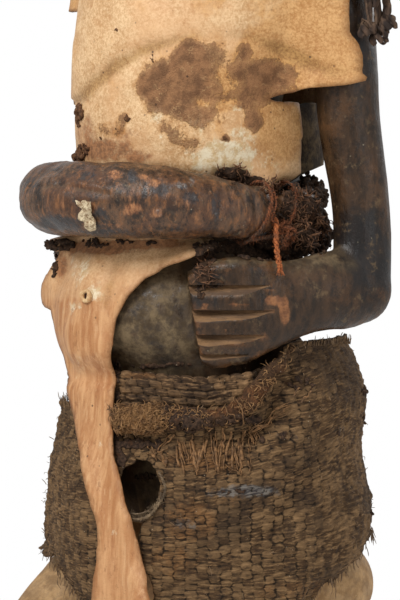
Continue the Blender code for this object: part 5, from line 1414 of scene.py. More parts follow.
def make_cord():
    look = cord_look()
    thick = [tuple(p) for p in lashing(80.5, 18.9, 9, 1.0, -60, -8)]
    parts = plied([tuple(KNOT)] + thick + [tuple(KNOT)], 1.3, 2, 5.2, fuzz=1.6, seed=3, steps=130)[0]
    second = [(p[0] + 1.8, p[1] - 0.6, p[2]) for p in lashing(83.0, 17.2, 7, 1.0, -40, -8)]
    parts += plied([tuple(KNOT + [2, 0, 3])] + second[1:8], 0.8, 2, 4.2, fuzz=1.4, seed=5, steps=70)[0]
    parts += plied([tuple(KNOT), (89, -5, 439), (80, 1, 440.5), (69, 3, 443.5), (62.2, 4, 455), (65.5, 4, 467), (77, 3, 472), (88, 0, 467), (93, -5, 455), tuple(KNOT)], 0.85, 2, 4.2, fuzz=3.2, seed=8, steps=110)[0]
    # the knot: cords that pass round and over each other
    rng = np.random.default_rng(12)
    for k in range(10):
        a, b = np.linalg.qr(rng.normal(size=(3, 3)))[0][:2]
        turn = np.linspace(0, 2 * math.pi, 15)
        r = 3.4 + 3.6 * k / 9
        loop = [tuple(KNOT + [0.5, -0.5, -1] + (a * math.cos(t) + b * math.sin(t)) * r * (1 + 0.12 * math.sin(3 * t + k)) * np.array([1, 1, 1.15])) for t in turn]
        parts += plied(loop, 1.3, 2, 5.0, fuzz=1.8, seed=20 + k, steps=90)[0]
    points, faces = joined(parts)
    obj = new_object("red_cord_lashing", points, faces, [look])
    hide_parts("tie_cord")
    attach(obj, "root")

    parts, even = plied(TAIL, 1.8, 2, 7.5, fuzz=1.5, seed=50, steps=60)
    points, faces = joined(parts)
    tail = new_object("red_cord_end", points, faces, [cord_look("cord_end", 1.25)])
    rng = np.random.default_rng(6)
    frays = []
    tip = np.array(TAIL[-1], float)
    for k in range(26):
        a = rng.uniform(0, 2 * math.pi)
        out = np.array([math.cos(a), math.sin(a), 0]) * rng.uniform(0.3, 1.3)
        root = tip + out + [0, 0, 2.5]
        long = rng.uniform(2, 5)
        frays.append(strand([root, tip + out * 1.6 + [0, 0, -long * 0.4], tip + out * rng.uniform(1.6, 3.4) + [0, 0, -long]], 0.3, 4, 8))
    points, faces = joined(frays)
    look2 = cord_look("cord_frays", 1.4)
    fray = new_object("red_cord_frays", points, faces, [look2])
    for piece in (tail, fray):
        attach(piece, "root")
    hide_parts("tie_cord_tail")
    return obj


# ---------------------------------------------------------------- the plaited band


def fibre_look(name, gap_shade, low, high, tip, wide=1.0):
    """Woven or plaited fibre: "cell" is how proud a stitch stands, "pick" a number of its own, "cloth" its flat place."""
    k = Look(name, 0.88, 0.22)
    cell, pick = k.value("cell"), k.value("pick")
    flat = k.add("ShaderNodeAttribute", attribute_name="cloth").outputs["Vector"]
    run = k.add("ShaderNodeMapping")
    k.put(run.inputs["Vector"], flat)
    run.inputs["Scale"].default_value = (0.2, 1.0, 1.0)
    threads = k.noise(1.3 * wide, 4, 0.66, run.outputs["Vector"])
    broad, middle = k.noise(42, 4, 0.62), k.noise(10, 5, 0.7)
    colour = k.mix(k.step(pick, 0.1, 0.9), low, high)
    colour = k.mix(k.step(threads, 0.48, 0.68, 0, 0.8), colour, tip)
    colour = k.mix(k.step(threads, 0.46, 0.34, 0, 0.7), colour, srgb(40, 30, 22))
    colour = k.mix(k.step(broad, 0.5, 0.64, 0, 0.55), colour, srgb(56, 44, 34))
    rust = k.math("ADD", k.value("gold"), k.math("MULTIPLY", k.math("SUBTRACT", k.noise(7, 6, 0.76), 0.5), 2.0))
    colour = k.mix(k.step(rust, 0.25, 0.9, 0, 0.6), colour, k.mix(k.step(threads, 0.4, 0.62), srgb(92, 62, 36), srgb(140, 98, 58)))
    colour = k.mix(k.math("MULTIPLY", k.step(middle, 0.52, 0.66), 0.6), colour, srgb(42, 32, 26))
    grey = k.math("ADD", k.value("grey"), k.math("MULTIPLY", k.math("SUBTRACT", k.noise(5, 6, 0.76), 0.5), 2.0))
    colour = k.mix(k.step(grey, 0.35, 0.95, 0, 0.8), colour, k.mix(k.step(threads, 0.4, 0.62), srgb(52, 52, 56), srgb(122, 118, 112)))
    # painted shade between the stitches, in the gap colour, where a stitch stands low
    colour = k.mix(k.step(k.math("ADD", cell, k.math("MULTIPLY", k.math("SUBTRACT", threads, 0.5), 0.9)), 0.52, 0.08, 0, 0.9), colour, gap_shade)
    specks = k.math("MULTIPLY", k.step(k.cells(4.4), 0.1, 0.05), k.step(k.noise(17, 2), 0.5, 0.62))
    colour = k.mix(k.math("MULTIPLY", specks, 0.8), colour, srgb(176, 160, 136))
    normal = k.bump(threads, 0.9, k.bump(k.noise(2.6, 5, 0.74), 0.7))
    return k.finish(colour, 0.9, normal)


def vectors(obj, name, numbers):
    attribute = obj.data.attributes.new(name, "FLOAT_VECTOR", "POINT")
    attribute.data.foreach_set("vector", np.asarray(numbers, np.float32).ravel())


def per_cell(a, b, seed):
    return lattice(np.asarray(a).astype(np.int64), np.asarray(b).astype(np.int64), np.zeros(np.shape(a), np.int64), seed)


def make_band():
    steps = 780
    phis = np.linspace(0, 360, steps, endpoint=False)
    reach = band_reach(phis)
    for _ in range(5):
        reach = np.maximum(reach, (np.roll(reach, 3) + np.roll(reach, -3) + 2 * reach) / 4)
    c, s = np.cos(np.linspace(0, 2 * math.pi, 721)), np.sin(np.linspace(0, 2 * math.pi, 721))
    out = BAND_THICK / 2 * np.sign(c) * np.abs(c) ** 0.7
    up = (BAND_HEIGHT / 2 - 0.4) * np.sign(s) * np.abs(s) ** 0.7
    way = np.concatenate([[0], np.cumsum(np.hypot(np.diff(out), np.diff(up)) * np.where(c[1:] > -0.1, 1.0, 0.28))])
    sides = 58
    pick_at = np.linspace(0, way[-1], sides, endpoint=False)
    c, s, out, up = (np.interp(pick_at, way, each) for each in (c, s, out, up))
    base = polar(phis, np.zeros(steps), 0)
    ways = np.stack([np.sin(np.radians(phis)), -np.cos(np.radians(phis)), np.zeros(steps)], 1)
    gaps = np.linalg.norm(np.diff(np.concatenate([ways * reach[:, None], ways[:1] * reach[0]]), axis=0), axis=1)
    run = np.concatenate([[0], np.cumsum(gaps)])[:-1]
    total = gaps.sum()
    count = round(total / 7.8)
    lane = run / total * count
    # stitches: five lanes, each shifted by half a stitch
    level = (up[None, :] / (BAND_HEIGHT / 2) + 1) / 2 * 5 + 0.25 * (noise(np.stack([run, run * 0, run * 0], 1), 30, 3)[:, None] - 0.5) + 0 * lane[:, None]
    row = np.clip(np.floor(level), 0, 4)
    a = lane[:, None] + 0.5 * (row % 2) + 0.16 * (level - row - 0.5) + 0.18 * (noise(np.stack([run, run * 0, run * 0], 1), 12, 8)[:, None] - 0.5)
    k = np.floor(a)
    xx, yy = (a - k - 0.5) * 2, (level - row - 0.5) * 2
    pillow = np.sqrt(np.maximum(0, 1 - np.abs(xx) ** 2.4)) * np.sqrt(np.maximum(0, 1 - np.abs(yy) ** 2.2))
    pick = per_cell(k % count, row, 7)
    outer = step(-0.4, 0.3, np.broadcast_to(c, pillow.shape))
    move = pillow * (1.9 + 0.9 * pick) * (0.35 + 0.65 * outer) - 0.9
    points = []
    for i in range(steps):
        d = ways[i]
        z = band_height(phis[i])
        normal = np.outer(np.abs(c) ** 0.9 * np.sign(c), d) + np.outer(np.abs(s) ** 1.6 * np.sign(s), [0, 0, 1])
        points.append(d * reach[i] + np.outer(out, d) + np.outer(up + z, [0, 0, 1]) + normal * move[i][:, None])
    points = np.concatenate(points)
    j = np.arange(sides)
    faces = np.concatenate([np.stack([i * sides + j, i * sides + (j + 1) % sides, ((i + 1) % steps) * sides + (j + 1) % sides, ((i + 1) % steps) * sides + j], 1) for i in range(steps)])
    # worn and slightly swollen in places
    points += (np.repeat(ways, sides, 0)) * (1.2 * (fbm(points, 24, 2, 81) - 0.4))[:, None]
    obj = new_object("plaited_band", points, faces.tolist(), [fibre_look("plaited_fibre", srgb(20, 15, 11), srgb(68, 50, 35), srgb(122, 93, 64), srgb(168, 132, 94))])
    bm = bmesh.new()
    bm.from_mesh(obj.data)
    bmesh.ops.recalc_face_normals(bm, faces=bm.faces[:])
    bm.to_mesh(obj.data)
    bm.free()
    values(obj, "cell", pillow.ravel())
    values(obj, "pick", pick.ravel())
    values(obj, "gold", (blobs(pixel_of(points)[:, 0], pixel_of(points)[:, 1], [(140, 376, 26, 5, 0.7), (190, 373, 20, 4, 0.5)]) * step(0, 20, 0.70711 * (points[:, 0] - points[:, 1]))))
    vectors(obj, "cloth", np.stack([np.repeat(run, sides), np.tile(up, steps), np.zeros(steps * sides)], 1) * MM)
    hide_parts("waist_band")
    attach(obj, "root")
    return obj


# ---------------------------------------------------------------- the woven skirt


def skirt_outline():
    start, turn = 21.0, 360.0
    bottom = []
    for phi in np.arange(GAP_RIGHT, GAP_LEFT + turn + 0.1, 2.5):
        z = table(wrap(phi), SKIRT_HEM)
        z += sum(depth * max(0.0, 1 - abs(wrap(phi - at)) / half) for at, half, depth in SKIRT_WEAR)
        bottom.append((float(phi), float(z)))
    top = [(float(phi), float(table(wrap(phi), SKIRT_TOP)) - 6 * float(bump(float(wrap(phi)), -72, 40)) + 5.5 * float(bump(float(wrap(phi)), 118, 62))) for phi in np.arange(start + turn, start - 0.1, -3.0)]
    a, z, half, high = HOLE
    seam = list(np.linspace(table(start, SKIRT_TOP), z + high, 4))[1:]
    left = [(start, float(s)) for s in seam]
    left += [(a + half * math.sin(t), z + high * math.cos(t)) for t in np.linspace(0.35, math.pi - 0.5, 10)]
    left += [(25.0, GAP_TOP + 6), (27, GAP_TOP - 8), (30.5, 226), (GAP_RIGHT - 1, 208)]
    right = [(GAP_LEFT + 1 + turn, 220), (GAP_LEFT + 4 + turn, 238), (GAP_LEFT + 6 + turn, GAP_TOP + 4)]
    right += [(a - half * math.sin(t) + turn, z + high * math.cos(t)) for t in np.linspace(math.pi - 0.5, 0.35, 10)]
    right += [(start + turn, float(s)) for s in seam[::-1]]
    return left + bottom + right + top


def weave(s, z, phi):
    """Height of the weave, a number for each crossing and the flat place."""
    rise = table(wrap(phi), [(-180, 8), (-120, 2), (-40, 0), (20, 0), (48, 3), (75, 14), (110, 26), (140, 24), (180, 8)])
    level = z - rise * step(200, 330, z)
    spot = np.stack([s, level, np.zeros(len(s))], 1)
    s2 = s + 2.4 * (fbm(spot, 34, 2, 91) - 0.5) * 2 + 0.5 * (noise(spot, 8, 95) - 0.5)
    t2 = level + 2.2 * (fbm(spot, 38, 2, 93) - 0.5) * 2 + 0.5 * (noise(spot, 8, 97) - 0.5)
    c = s2 / 7.0
    ci = np.floor(c)
    r = t2 / 4.6 + 0.5 * (ci % 2)
    ri = np.floor(r)
    x, y = (c - ci - 0.5) * 2, (r - ri - 0.5) * 2
    pick = per_cell(ci, ri, 11)
    wobble = np.stack([s, level, np.full(len(s), 50.0)], 1)
    x = x + 0.5 * (noise(wobble, 3.2, 21) - 0.5) + 0.16 * (per_cell(ci, ri, 12) - 0.5)
    y = y + 0.5 * (noise(wobble, 3.0, 22) - 0.5) + 0.34 * (per_cell(ci, ri, 13) - 0.5) + 0.3 * (per_cell(ci, ri, 15) - 0.5) * x
    wide, tall = 0.94 + 0.14 * per_cell(ci, ri, 14), 0.74 + 0.2 * per_cell(ci, ri, 17)
    pillow = np.sqrt(np.maximum(0, 1 - np.abs(x / wide) ** 2.2)) * np.sqrt(np.maximum(0, 1 - np.abs(y / tall) ** 2.0))
    warp = 0.22 * np.sqrt(np.maximum(0, 1 - x**2)) * (np.abs(y) > 0.6)
    return np.maximum(pillow, warp), pick, np.stack([s2, t2, np.zeros(len(s))], 1)


def make_skirt():
    scale = 106 * math.pi / 180
    look = fibre_look("raffia_weave", srgb(26, 19, 12), srgb(74, 54, 35), srgb(114, 88, 60), srgb(150, 118, 82))
    outline = [split_loop([(phi * scale, z) for phi, z in skirt_outline()], 5)]
    pieces, areas = [], []
    for name, low, high in (("skirt_cloth_left", 21.0 - 16, 199.0), ("skirt_cloth_right", 196.0, 381.0 + 10)):
        def ragged(p):
            d = depth_inside(p, outline) + 1.5 * (fbm(p, 8, 3, 15) - 0.45) * 2 + 0.6 * (noise(p, 2.6, 16) - 0.5)
            seam = (high * scale - p[:, 0]) if name.endswith("left") else (p[:, 0] - low * scale)
            return np.minimum(d, seam)

        flat, faces = clipped((low * scale - 2, 176), (high * scale + 2, 372), 1.5, ragged)
        phi = flat[:, 0] / scale
        height, pick, cloth = weave(flat[:, 0], flat[:, 1], phi)
        reach = skirt_reach(phi, flat[:, 1])
        base = polar(phi, reach, flat[:, 1])
        if name.endswith("right"):
            base = polar(phi, reach + 1.1 * (1 - step(0, 5, phi - low)) + 0.0, flat[:, 1])
        obj = new_object(name, base, faces, [look])
        out = base * [1, 1, 0]
        out /= np.linalg.norm(out, axis=1)[:, None]
        depth = np.maximum(depth_inside(flat, outline), 0)
        pix = pixel_of(base)
        x, y = pix[:, 0], pix[:, 1]
        seen = step(0, 20, 0.70711 * (base[:, 0] - base[:, 1]))
        slack = 2.2 * (fbm(base, 36, 2, 101) - 0.5) * 2 + 0.8 * (fbm(base, 14, 2, 103) - 0.5) * 2
        # pulled ridges that rise to the right, and a soft hollow under the torn part
        for line, half, deep in (
            ([(150, 530), (190, 500), (230, 486), (275, 470), (310, 448)], 5, 0.9), ([(170, 545), (215, 512), (265, 492), (320, 470)], 5, 0.7), ([(165, 440), (205, 452), (248, 450)], 12, -1.6),
            ([(150, 520), (170, 556), (186, 598)], 7, 1.0), ([(350, 350), (352, 400), (356, 460)], 9, 0.8),
        ):
            slack += seen * deep * np.exp(-((line_away(x, y, line)[0] / half) ** 2))
        frayed = seen * bump(y, 456, 34) * bump(x, 210, 62)
        worn_out = np.clip(seen * step(292, 345, x) * 0.75 + seen * step(105, 70, x) * 0.3, 0, 0.8)
        amp = 1.3 * (1 - 0.55 * frayed) * (0.5 + 0.9 * pick) * (1 - worn_out)
        flop = (1 - step(0, 10, depth)) * (noise(base, 16, 107) - 0.5) * 2.2
        p = points_of(obj)
        move = np.maximum(slack, -1.2) + amp * height + np.maximum(flop, -0.8) - 1.0 + (0.5 + 0.8 * worn_out) * (fbm(base, 2.6, 2, 109) - 0.5) * 2
        move_points(obj, p + out * move[:, None])
        areas.append(area_of(base, faces))
        values(obj, "cell", height * (1 - 0.3 * frayed) * (1 - 0.75 * worn_out) + 0.75 * worn_out * step(0.15, 0.5, fbm(base, 3.4, 3, 117)))
        values(obj, "pick", pick)
        values(obj, "gold", np.clip(seen * blobs(x, y, [(190, 520, 34, 30, 0.75), (210, 460, 46, 20, 0.8), (175, 560, 26, 26, 0.6), (228, 500, 20, 12, 0.5), (300, 590, 70, 14, 0.45), (280, 480, 20, 10, 0.4)]) + 0.25 * step(0.55, 0.75, fbm(base, 50, 2, 111)), 0, 1))
        values(obj, "grey", np.clip(seen * blobs(x, y, [(248, 491, 44, 8, 0.95), (222, 494, 24, 6, 0.6), (185, 524, 24, 8, 0.6), (288, 438, 14, 10, 0.5), (340, 432, 10, 8, 0.5), (190, 545, 18, 8, 0.35)]), 0, 1))
        vectors(obj, "cloth", cloth * MM)
        thickened(obj, 1.7)
        pieces.append(obj)
        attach(obj, "root")
        print(name, "area", areas[-1] * 1e-6, "faces", len(obj.data.polygons))
    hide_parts("skirt")
    return pieces, look


def surface(phi, z, out=0.0):
    """A place on the skirt."""
    return polar(np.asarray([phi]), skirt_reach(np.asarray([float(phi)]), np.asarray([float(z)])) + out, float(z))[0]


# ---------------------------------------------------------------- loose fibres, threads and the rolled edge


def straw_look(name, a, b, dark):
    k = Look(name, 0.7, 0.35)
    long = k.noise(3, 3, 0.6)
    colour = k.mix(k.step(long, 0.35, 0.65), a, b)
    colour = k.mix(k.step(k.noise(9, 3, 0.6), 0.5, 0.7, 0, 0.7), colour, dark)
    return k.finish(colour, 0.7, k.bump(k.noise(0.8, 2, 0.6), 0.15))


def make_straws(trees):
    rng = np.random.default_rng(31)
    parts = []

    def fibre(x0, y0, x1, y1, width, lift=1.0, bow=1.2):
        pts = []
        for t in np.linspace(0, 1, 6):
            x, y = x0 + (x1 - x0) * t, y0 + (y1 - y0) * t
            at, n = landing(x, y, trees)
            if at is None:
                return
            pts.append(at + n * (lift + bow * math.sin(math.pi * t)) + rng.normal(size=3) * 0.25)
        pts = np.array(pts)
        for k in range(1, len(pts) - 1):  # no jumps where the sight line slips past an edge
            if np.linalg.norm(pts[k] - pts[k - 1]) > 14:
                return
        parts.append(strand([tuple(p) for p in pts], width / 2, 5, 14, flat=0.4, taper=False))

    # upright torn warps in bunches under the roll
    for cx, top, low, count, lean, wide in (
        (150, 438, 460, 5, 10, 1.2), (162, 440, 464, 6, 6, 1.4), (180, 432, 470, 9, 4, 1.3), (193, 432, 474, 8, 1, 1.2), (203, 430, 480, 8, -1, 1.2), (214, 428, 472, 7, 2, 1.1), (226, 424, 470, 9, -1, 1.1),
        (236, 430, 474, 7, 5, 1.2), (245, 446, 478, 5, 3, 1.1), (248, 420, 446, 8, 3, 1.2), (254, 420, 444, 6, 4, 1.1), (170, 430, 452, 4, -14, 1.1),
    ):
        for _ in range(round(count * 0.8)):
            x = cx + rng.uniform(-5.5, 5.5)
            y0 = top + rng.uniform(2, 20)
            y1 = min(low + rng.uniform(-10, 6), y0 + rng.uniform(14, 34))
            fibre(x, y0, x + lean * 0.8 + rng.normal() * 2.6, y1, wide * rng.uniform(0.8, 1.9), rng.uniform(0.2, 1.0), rng.uniform(0, 0.8))
    # a slanting sheaf at the right and single straws
    for _ in range(9):
        x, y = 250 + rng.uniform(-3, 4), 430 + rng.uniform(-4, 3)
        fibre(x, y, x + 38 + rng.uniform(-12, 6), y - 23 + rng.uniform(-4, 5), rng.uniform(0.7, 1.3), rng.uniform(0.6, 2.2), 1.5)
    for x0, y0, x1, y1 in ((225, 466, 246, 476), (142, 448, 154, 468), (236, 402, 244, 424), (230, 398, 240, 412), (246, 428, 236, 448), (226, 408, 238, 420), (140, 462, 152, 474), (292, 398, 300, 388), (300, 402, 310, 392)):
        fibre(x0, y0, x1, y1, rng.uniform(0.8, 1.3), 2.0, 1.0)
    points, faces = joined(parts)
    obj = new_object("torn_fibres", points, faces, [straw_look("golden_fibre", srgb(98, 70, 43), srgb(150, 110, 70), srgb(58, 42, 29))])
    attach(obj, "root")

    # threads and hairs that stand out of the cloth's edges
    parts = []
    edges = []
    for phi in np.arange(24, 376, 1.1):
        z = float(table(wrap(phi), SKIRT_TOP))
        edges.append((phi, z, 1.0))
        if wrap(phi) > GAP_RIGHT + 1 or wrap(phi) < GAP_LEFT - 1:
            zb = float(table(wrap(phi), SKIRT_HEM)) + sum(depth * max(0.0, 1 - abs(wrap(phi - at)) / half) for at, half, depth in SKIRT_WEAR)
            edges.append((phi, zb, -1.0))
    for phi, z, way in edges:
        for _ in range(1 if rng.uniform() < 0.6 else 2):
            a = phi + rng.uniform(-0.6, 0.6)
            root = surface(a, z - way * 2.5, rng.uniform(-0.5, 1.8))
            d = direction(a)
            side = np.array([-d[1], d[0], 0])
            long = rng.uniform(1.5, 5.0) if rng.uniform() < 0.9 else rng.uniform(6, 11)
            if way > 0:
                long *= 0.7
            tip = root + d * rng.uniform(0, 0.5) * long + side * rng.normal() * 0.45 * long + np.array([0, 0, way * long * rng.uniform(0.5, 1.0) + way * 2.0])
            mid = (root + tip) / 2 + rng.normal(size=3) * long * 0.12
            parts.append(strand([tuple(root), tuple(mid), tuple(tip)], rng.uniform(0.16, 0.42), 3, 6))
    # hairs over the whole cloth, sparse
    for _ in range(240):
        a, t = rng.uniform(35, 365), rng.uniform(0.05, 0.95)
        z = float(table(wrap(a), SKIRT_HEM)) * (1 - t) + float(table(wrap(a), SKIRT_TOP)) * t
        if wrap(a) > GAP_LEFT - 3 and wrap(a) < GAP_RIGHT + 3 and z < 300:
            continue
        d = direction(a)
        side = np.array([-d[1], d[0], 0])
        root = surface(a, z, 1.2)
        long = rng.uniform(2, 6)
        tip = root + d * rng.uniform(0.3, 0.9) * long * 0.7 + side * rng.normal() * long * 0.5 + np.array([0, 0, rng.normal() * long * 0.4])
        parts.append(strand([tuple(root), tuple((root + tip) / 2 + rng.normal(size=3) * 0.5), tuple(tip)], rng.uniform(0.14, 0.3), 3, 5))
    points, faces = joined(parts)
    obj = new_object("loose_threads", points, faces, [straw_look("thread", srgb(104, 80, 58), srgb(146, 118, 86), srgb(62, 46, 36))])
    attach(obj, "root")

    # pale thread round the hole, and a second thread along its lower rim
    parts = []
    a, z, half, high = HOLE
    ring = [tuple(surface(a + (half + 1.2) * math.sin(t) * (1 + 0.05 * math.sin(5 * t)), z + (high + 1.5) * math.cos(t), 2.0 + 0.8 * math.sin(3 * t))) for t in np.linspace(0.95, math.pi + 1.1, 16)]
    parts += plied(ring, 1.0, 2, 4.0, 6, 3.0, 71, 120)[0]
    low = [tuple(surface(a + (half + 0.4) * math.sin(t), z + (high - 1.5) * math.cos(t), 1.2)) for t in np.linspace(1.7, math.pi + 1.2, 14)]
    parts += plied(low, 0.8, 2, 3.4, 6, 3.0, 73, 80)[0]
    points, faces = joined(parts)
    obj = new_object("hole_thread", points, faces, [straw_look("pale_thread", srgb(96, 78, 58), srgb(140, 118, 90), srgb(58, 45, 34))])
    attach(obj, "root")


def make_roll(trees):
    """The skirt's top edge, rolled over its cord and matted, thickest beside the apron."""
    parts = []
    phis = np.arange(9.0, 86, 1.5)
    line, size = [], []
    for phi in phis:
        z = float(table(phi, SKIRT_TOP))
        r = float(table(phi, [(9, 4.0), (13, 8.0), (18, 9.5), (27, 9.2), (34, 7.6), (44, 7.2), (58, 6.2), (70, 4.8), (80, 3.6), (86, 2.6)]))
        reach = float(skirt_reach(np.array([float(phi)]), np.array([z - 6.0]))[0])
        hips = float(look_up(FIELD["hips"], phi, z))
        reach = max(reach, hips + r * 0.35)
        line.append(direction(phi) * (reach + 0.4) + np.array([0, 0, z - r * 0.45]))
        size.append(r)
    parts.append(tube(resample(line, 360), np.interp(np.linspace(0, 1, 360), np.linspace(0, 1, len(size)), size), 28))
    obj = fused("skirt_roll", parts, 0.95, 2)
    p, n = points_of(obj), normals_of(obj)
    lump = 2.6 * (fbm(p, 14, 3, 121) - 0.5) * 2 + 1.5 * (fbm(p, 4.2, 2, 127) - 0.5) * 2
    strandy = 0.7 * (fbm(p * [1, 1, 1], 2.2, 2, 131) - 0.5) * 2
    move_points(obj, p + n * (np.maximum(lump + strandy, -2.2))[:, None])
    k = Look("matted_fibre", 0.93, 0.2)
    fine = k.noise(1.5, 5, 0.78, warp=1.2)
    gold, red, dark = k.value("gold"), k.value("red"), k.value("dark")
    colour = k.mix(k.step(fine, 0.38, 0.64), srgb(52, 38, 29), srgb(104, 76, 52))
    colour = k.mix(k.math("MULTIPLY", gold, k.step(fine, 0.3, 0.55, 0.35, 1.0)), colour, k.mix(k.step(fine, 0.4, 0.62), srgb(112, 78, 46), srgb(168, 124, 78)))
    colour = k.mix(k.math("MULTIPLY", red, k.step(fine, 0.35, 0.6, 0.25, 0.9)), colour, k.mix(k.step(k.noise(5, 6, 0.75), 0.42, 0.6), srgb(70, 46, 31), srgb(124, 80, 48)))
    # painted shadow: dark grey-brown where the roll sits close under the band
    colour = k.mix(k.math("MULTIPLY", dark, 0.8), colour, k.mix(k.step(fine, 0.45, 0.66), srgb(32, 26, 26), srgb(78, 72, 72)))
    specks = k.math("MULTIPLY", k.step(k.cells(2.6), 0.14, 0.07), k.step(k.noise(9, 2), 0.52, 0.62))
    colour = k.mix(specks, colour, srgb(168, 156, 138))
    obj.data.materials.append(k.finish(colour, 0.93, k.bump(fine, 0.9)))
    pix = pixel_of(points_of(obj))
    seen = step(0, 20, 0.70711 * (p[:, 0] - p[:, 1]))
    values(obj, "gold", seen * blobs(pix[:, 0], pix[:, 1], [(136, 424, 26, 20, 1.0), (150, 408, 14, 8, 0.6)]))
    values(obj, "red", seen * blobs(pix[:, 0], pix[:, 1], [(224, 408, 26, 12, 0.9), (262, 394, 30, 12, 0.8), (300, 372, 24, 12, 0.6)]))
    # painted shadow on the roll just under the band
    values(obj, "dark", seen * blobs(pix[:, 0], pix[:, 1], [(190, 420, 24, 12, 0.95), (166, 412, 8, 10, 0.6)]))
    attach(obj, "root")

    # matted hairs over the roll
    rng = np.random.default_rng(37)
    tree = tree_of(obj)
    parts = []
    for _ in range(900):
        phi = rng.uniform(10, 84) if rng.uniform() < 0.5 else rng.uniform(11, 36)
        z = float(table(phi, SKIRT_TOP)) + rng.uniform(-13, 6)
        d = direction(phi)
        hit = tree.ray_cast(Vector((d * 160 + [0, 0, z]) * MM), Vector(-d), 0.12)
        if hit[0] is None:
            continue
        at, n = np.array(hit[0]) / MM, np.array(hit[1])
        side = np.cross(n, rng.normal(size=3))
        side /= max(np.linalg.norm(side), 1e-6)
        long = rng.uniform(2, 6)
        curl = np.cross(n, side) * rng.normal() * 1.2
        parts.append(strand([tuple(at + n * 0.1), tuple(at + n * rng.uniform(0.5, 1.3) + side * long * 0.5 + curl), tuple(at + n * rng.uniform(-0.2, 1.0) + side * long)], rng.uniform(0.16, 0.4), 3, 6))
    points, faces = joined(parts)
    hair = new_object("roll_hairs", points, faces, [straw_look("matted_hair", srgb(118, 84, 52), srgb(164, 124, 80), srgb(66, 46, 34))])
    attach(hair, "root")
    return obj, tree


# ---------------------------------------------------------------- the dried strips beside the arm


def make_bundle():
    k = Look("dried_strips", 0.82, 0.3)
    long = k.noise(4, 4, 0.6, k.at((1, 1, 0.18)))
    fine = k.noise(1.6, 4, 0.7)
    colour = k.mix(k.step(long, 0.36, 0.66), srgb(44, 34, 29), srgb(88, 68, 54))
    colour = k.mix(k.step(k.noise(12, 4, 0.65), 0.54, 0.68, 0, 0.7), colour, srgb(116, 92, 72))
    colour = k.mix(k.step(fine, 0.6, 0.75, 0, 0.6), colour, srgb(28, 23, 21))
    mat = k.finish(colour, 0.82, k.bump(k.math("ADD", long, k.math("MULTIPLY", fine, 0.5)), 0.6))
    rng = np.random.default_rng(17)
    parts = []
    loop = []
    for phi in np.arange(78, 78 + 361, 15):
        r = 42.5 + 4 * math.cos(math.radians(phi - 78))
        loop.append(tuple(direction(phi) * r + np.array([0, 0, 680.0 + 0.8 * math.sin(phi)])))
    parts += plied(loop, 3.5, 3, 16, 9, 0.0, 81, 160)[0]
    over = [(46, -9, 681), (66, 2, 684), (92, 16, 682), (113, 22, 671), (128.5, 25, 651), (133.5, 26, 622)]
    for n, (dx, dy, end) in enumerate([(0, 0, 560), (-3, -7, 567), (3, 7, 573), (6, -2, 584), (1, -5, 578), (4, 4, 562), (-1, 3, 590)]):
        path = [(x + dx * min(1, i / 3), y + dy * min(1, i / 3), z + (n - 3) * 0.5) for i, (x, y, z) in enumerate(over)]
        path += [(133 + dx, 25.5 + dy, 600), (133 + dx * 0.9, 25 + dy, (600 + end) / 2), (133 + dx * 0.9, 25 + dy, end)]
        line = resample(path, 120)
        line += (np.stack([noise(line + n * 50, 14, 5 + n), noise(line + n * 50, 14, 25 + n), noise(line + n * 50, 20, 45 + n)], 1) - 0.5) * np.linspace(1, 5, 120)[:, None]
        along = np.gradient(line, axis=0)
        along /= np.linalg.norm(along, axis=1)[:, None]
        high = np.array([0.31, 0.22, 0.92])
        rings = []
        turn = np.linspace(0, 2 * math.pi, 18, endpoint=False)
        for i, (p, t) in enumerate(zip(line, along)):
            across = np.cross(t, high)
            across /= np.linalg.norm(across)
            high = np.cross(across, t)
            f = i / 119
            spin = 2.5 * f * (1 if n % 2 else -1) + n + 1.2 * math.sin(5 * f + n)
            wide = (3.2 + 1.6 * noise(p[None] + 9 * n, 9, 60)[0]) * (1 - 0.55 * max(0, f - 0.86) / 0.14) * (0.8 + 0.35 * math.sin(9 * f + n) ** 2)
            thin = 0.9 + 0.9 * noise(p[None], 7, 62)[0]
            cx = np.cos(turn) * wide
            cy = np.sin(turn) * thin + 0.16 * wide * np.cos(2 * turn + spin) + 0.5 * np.sin(4 * turn + 9 * f + n)
            rings.append(p + np.outer(cx * math.cos(spin) - cy * math.sin(spin), across) + np.outer(cx * math.sin(spin) + cy * math.cos(spin), high))
        parts.append(loft(rings))
    # the shrivelled, curled ends
    for cx, cy, cz, r in ((134, 27, 566, 5.5), (130, 20, 570, 4.5), (138, 30, 574, 5)):
        for m in range(3):
            a = np.linspace(0, 1.5 * math.pi, 10)
            curl = [(cx + r * math.cos(t + m) * 0.8 + rng.normal() * 0.4, cy + r * math.sin(t + m) * 0.6 + m - 1, cz - 6 + r * math.sin(t * 0.8) * 1.2 + m) for t in a]
            parts.append(tube(resample(curl, 40), 1.6 + 0.8 * np.sin(np.linspace(0, 9, 40)), 9, flat=0.6))
    hook = [(136, 28, 566), (137, 28.5, 561), (137.5, 28.5, 557.8), (135.5, 27.5, 556.6), (134, 27, 558)]
    parts.append(tube(resample(hook, 24), np.linspace(1.2, 0.5, 24), 8))
    points, faces = joined(parts)
    obj = new_object("dried_strip_bundle", points, faces, [mat])
    p, n = points_of(obj), normals_of(obj)
    move_points(obj, p + n * ((fbm(p, 3.6, 2, 141) - 0.5) * 1.3)[:, None])
    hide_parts("skin_bundle")
    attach(obj, "root")
    return obj


# ---------------------------------------------------------------- everything in its place

fields()
figure = make_figure()
hide = make_hide()
belt = make_belt()
make_cord()
band = make_band()
skirts, weave_look = make_skirt()
bundle = make_bundle()
TREES = {"figure": tree_of(figure), "hide": tree_of(hide), "belt": tree_of(belt), "band": tree_of(band), "left": tree_of(skirts[0]), "right": tree_of(skirts[1])}
roll, TREES["roll"] = make_roll(None)
make_straws([TREES["left"], TREES["right"], TREES["roll"]])

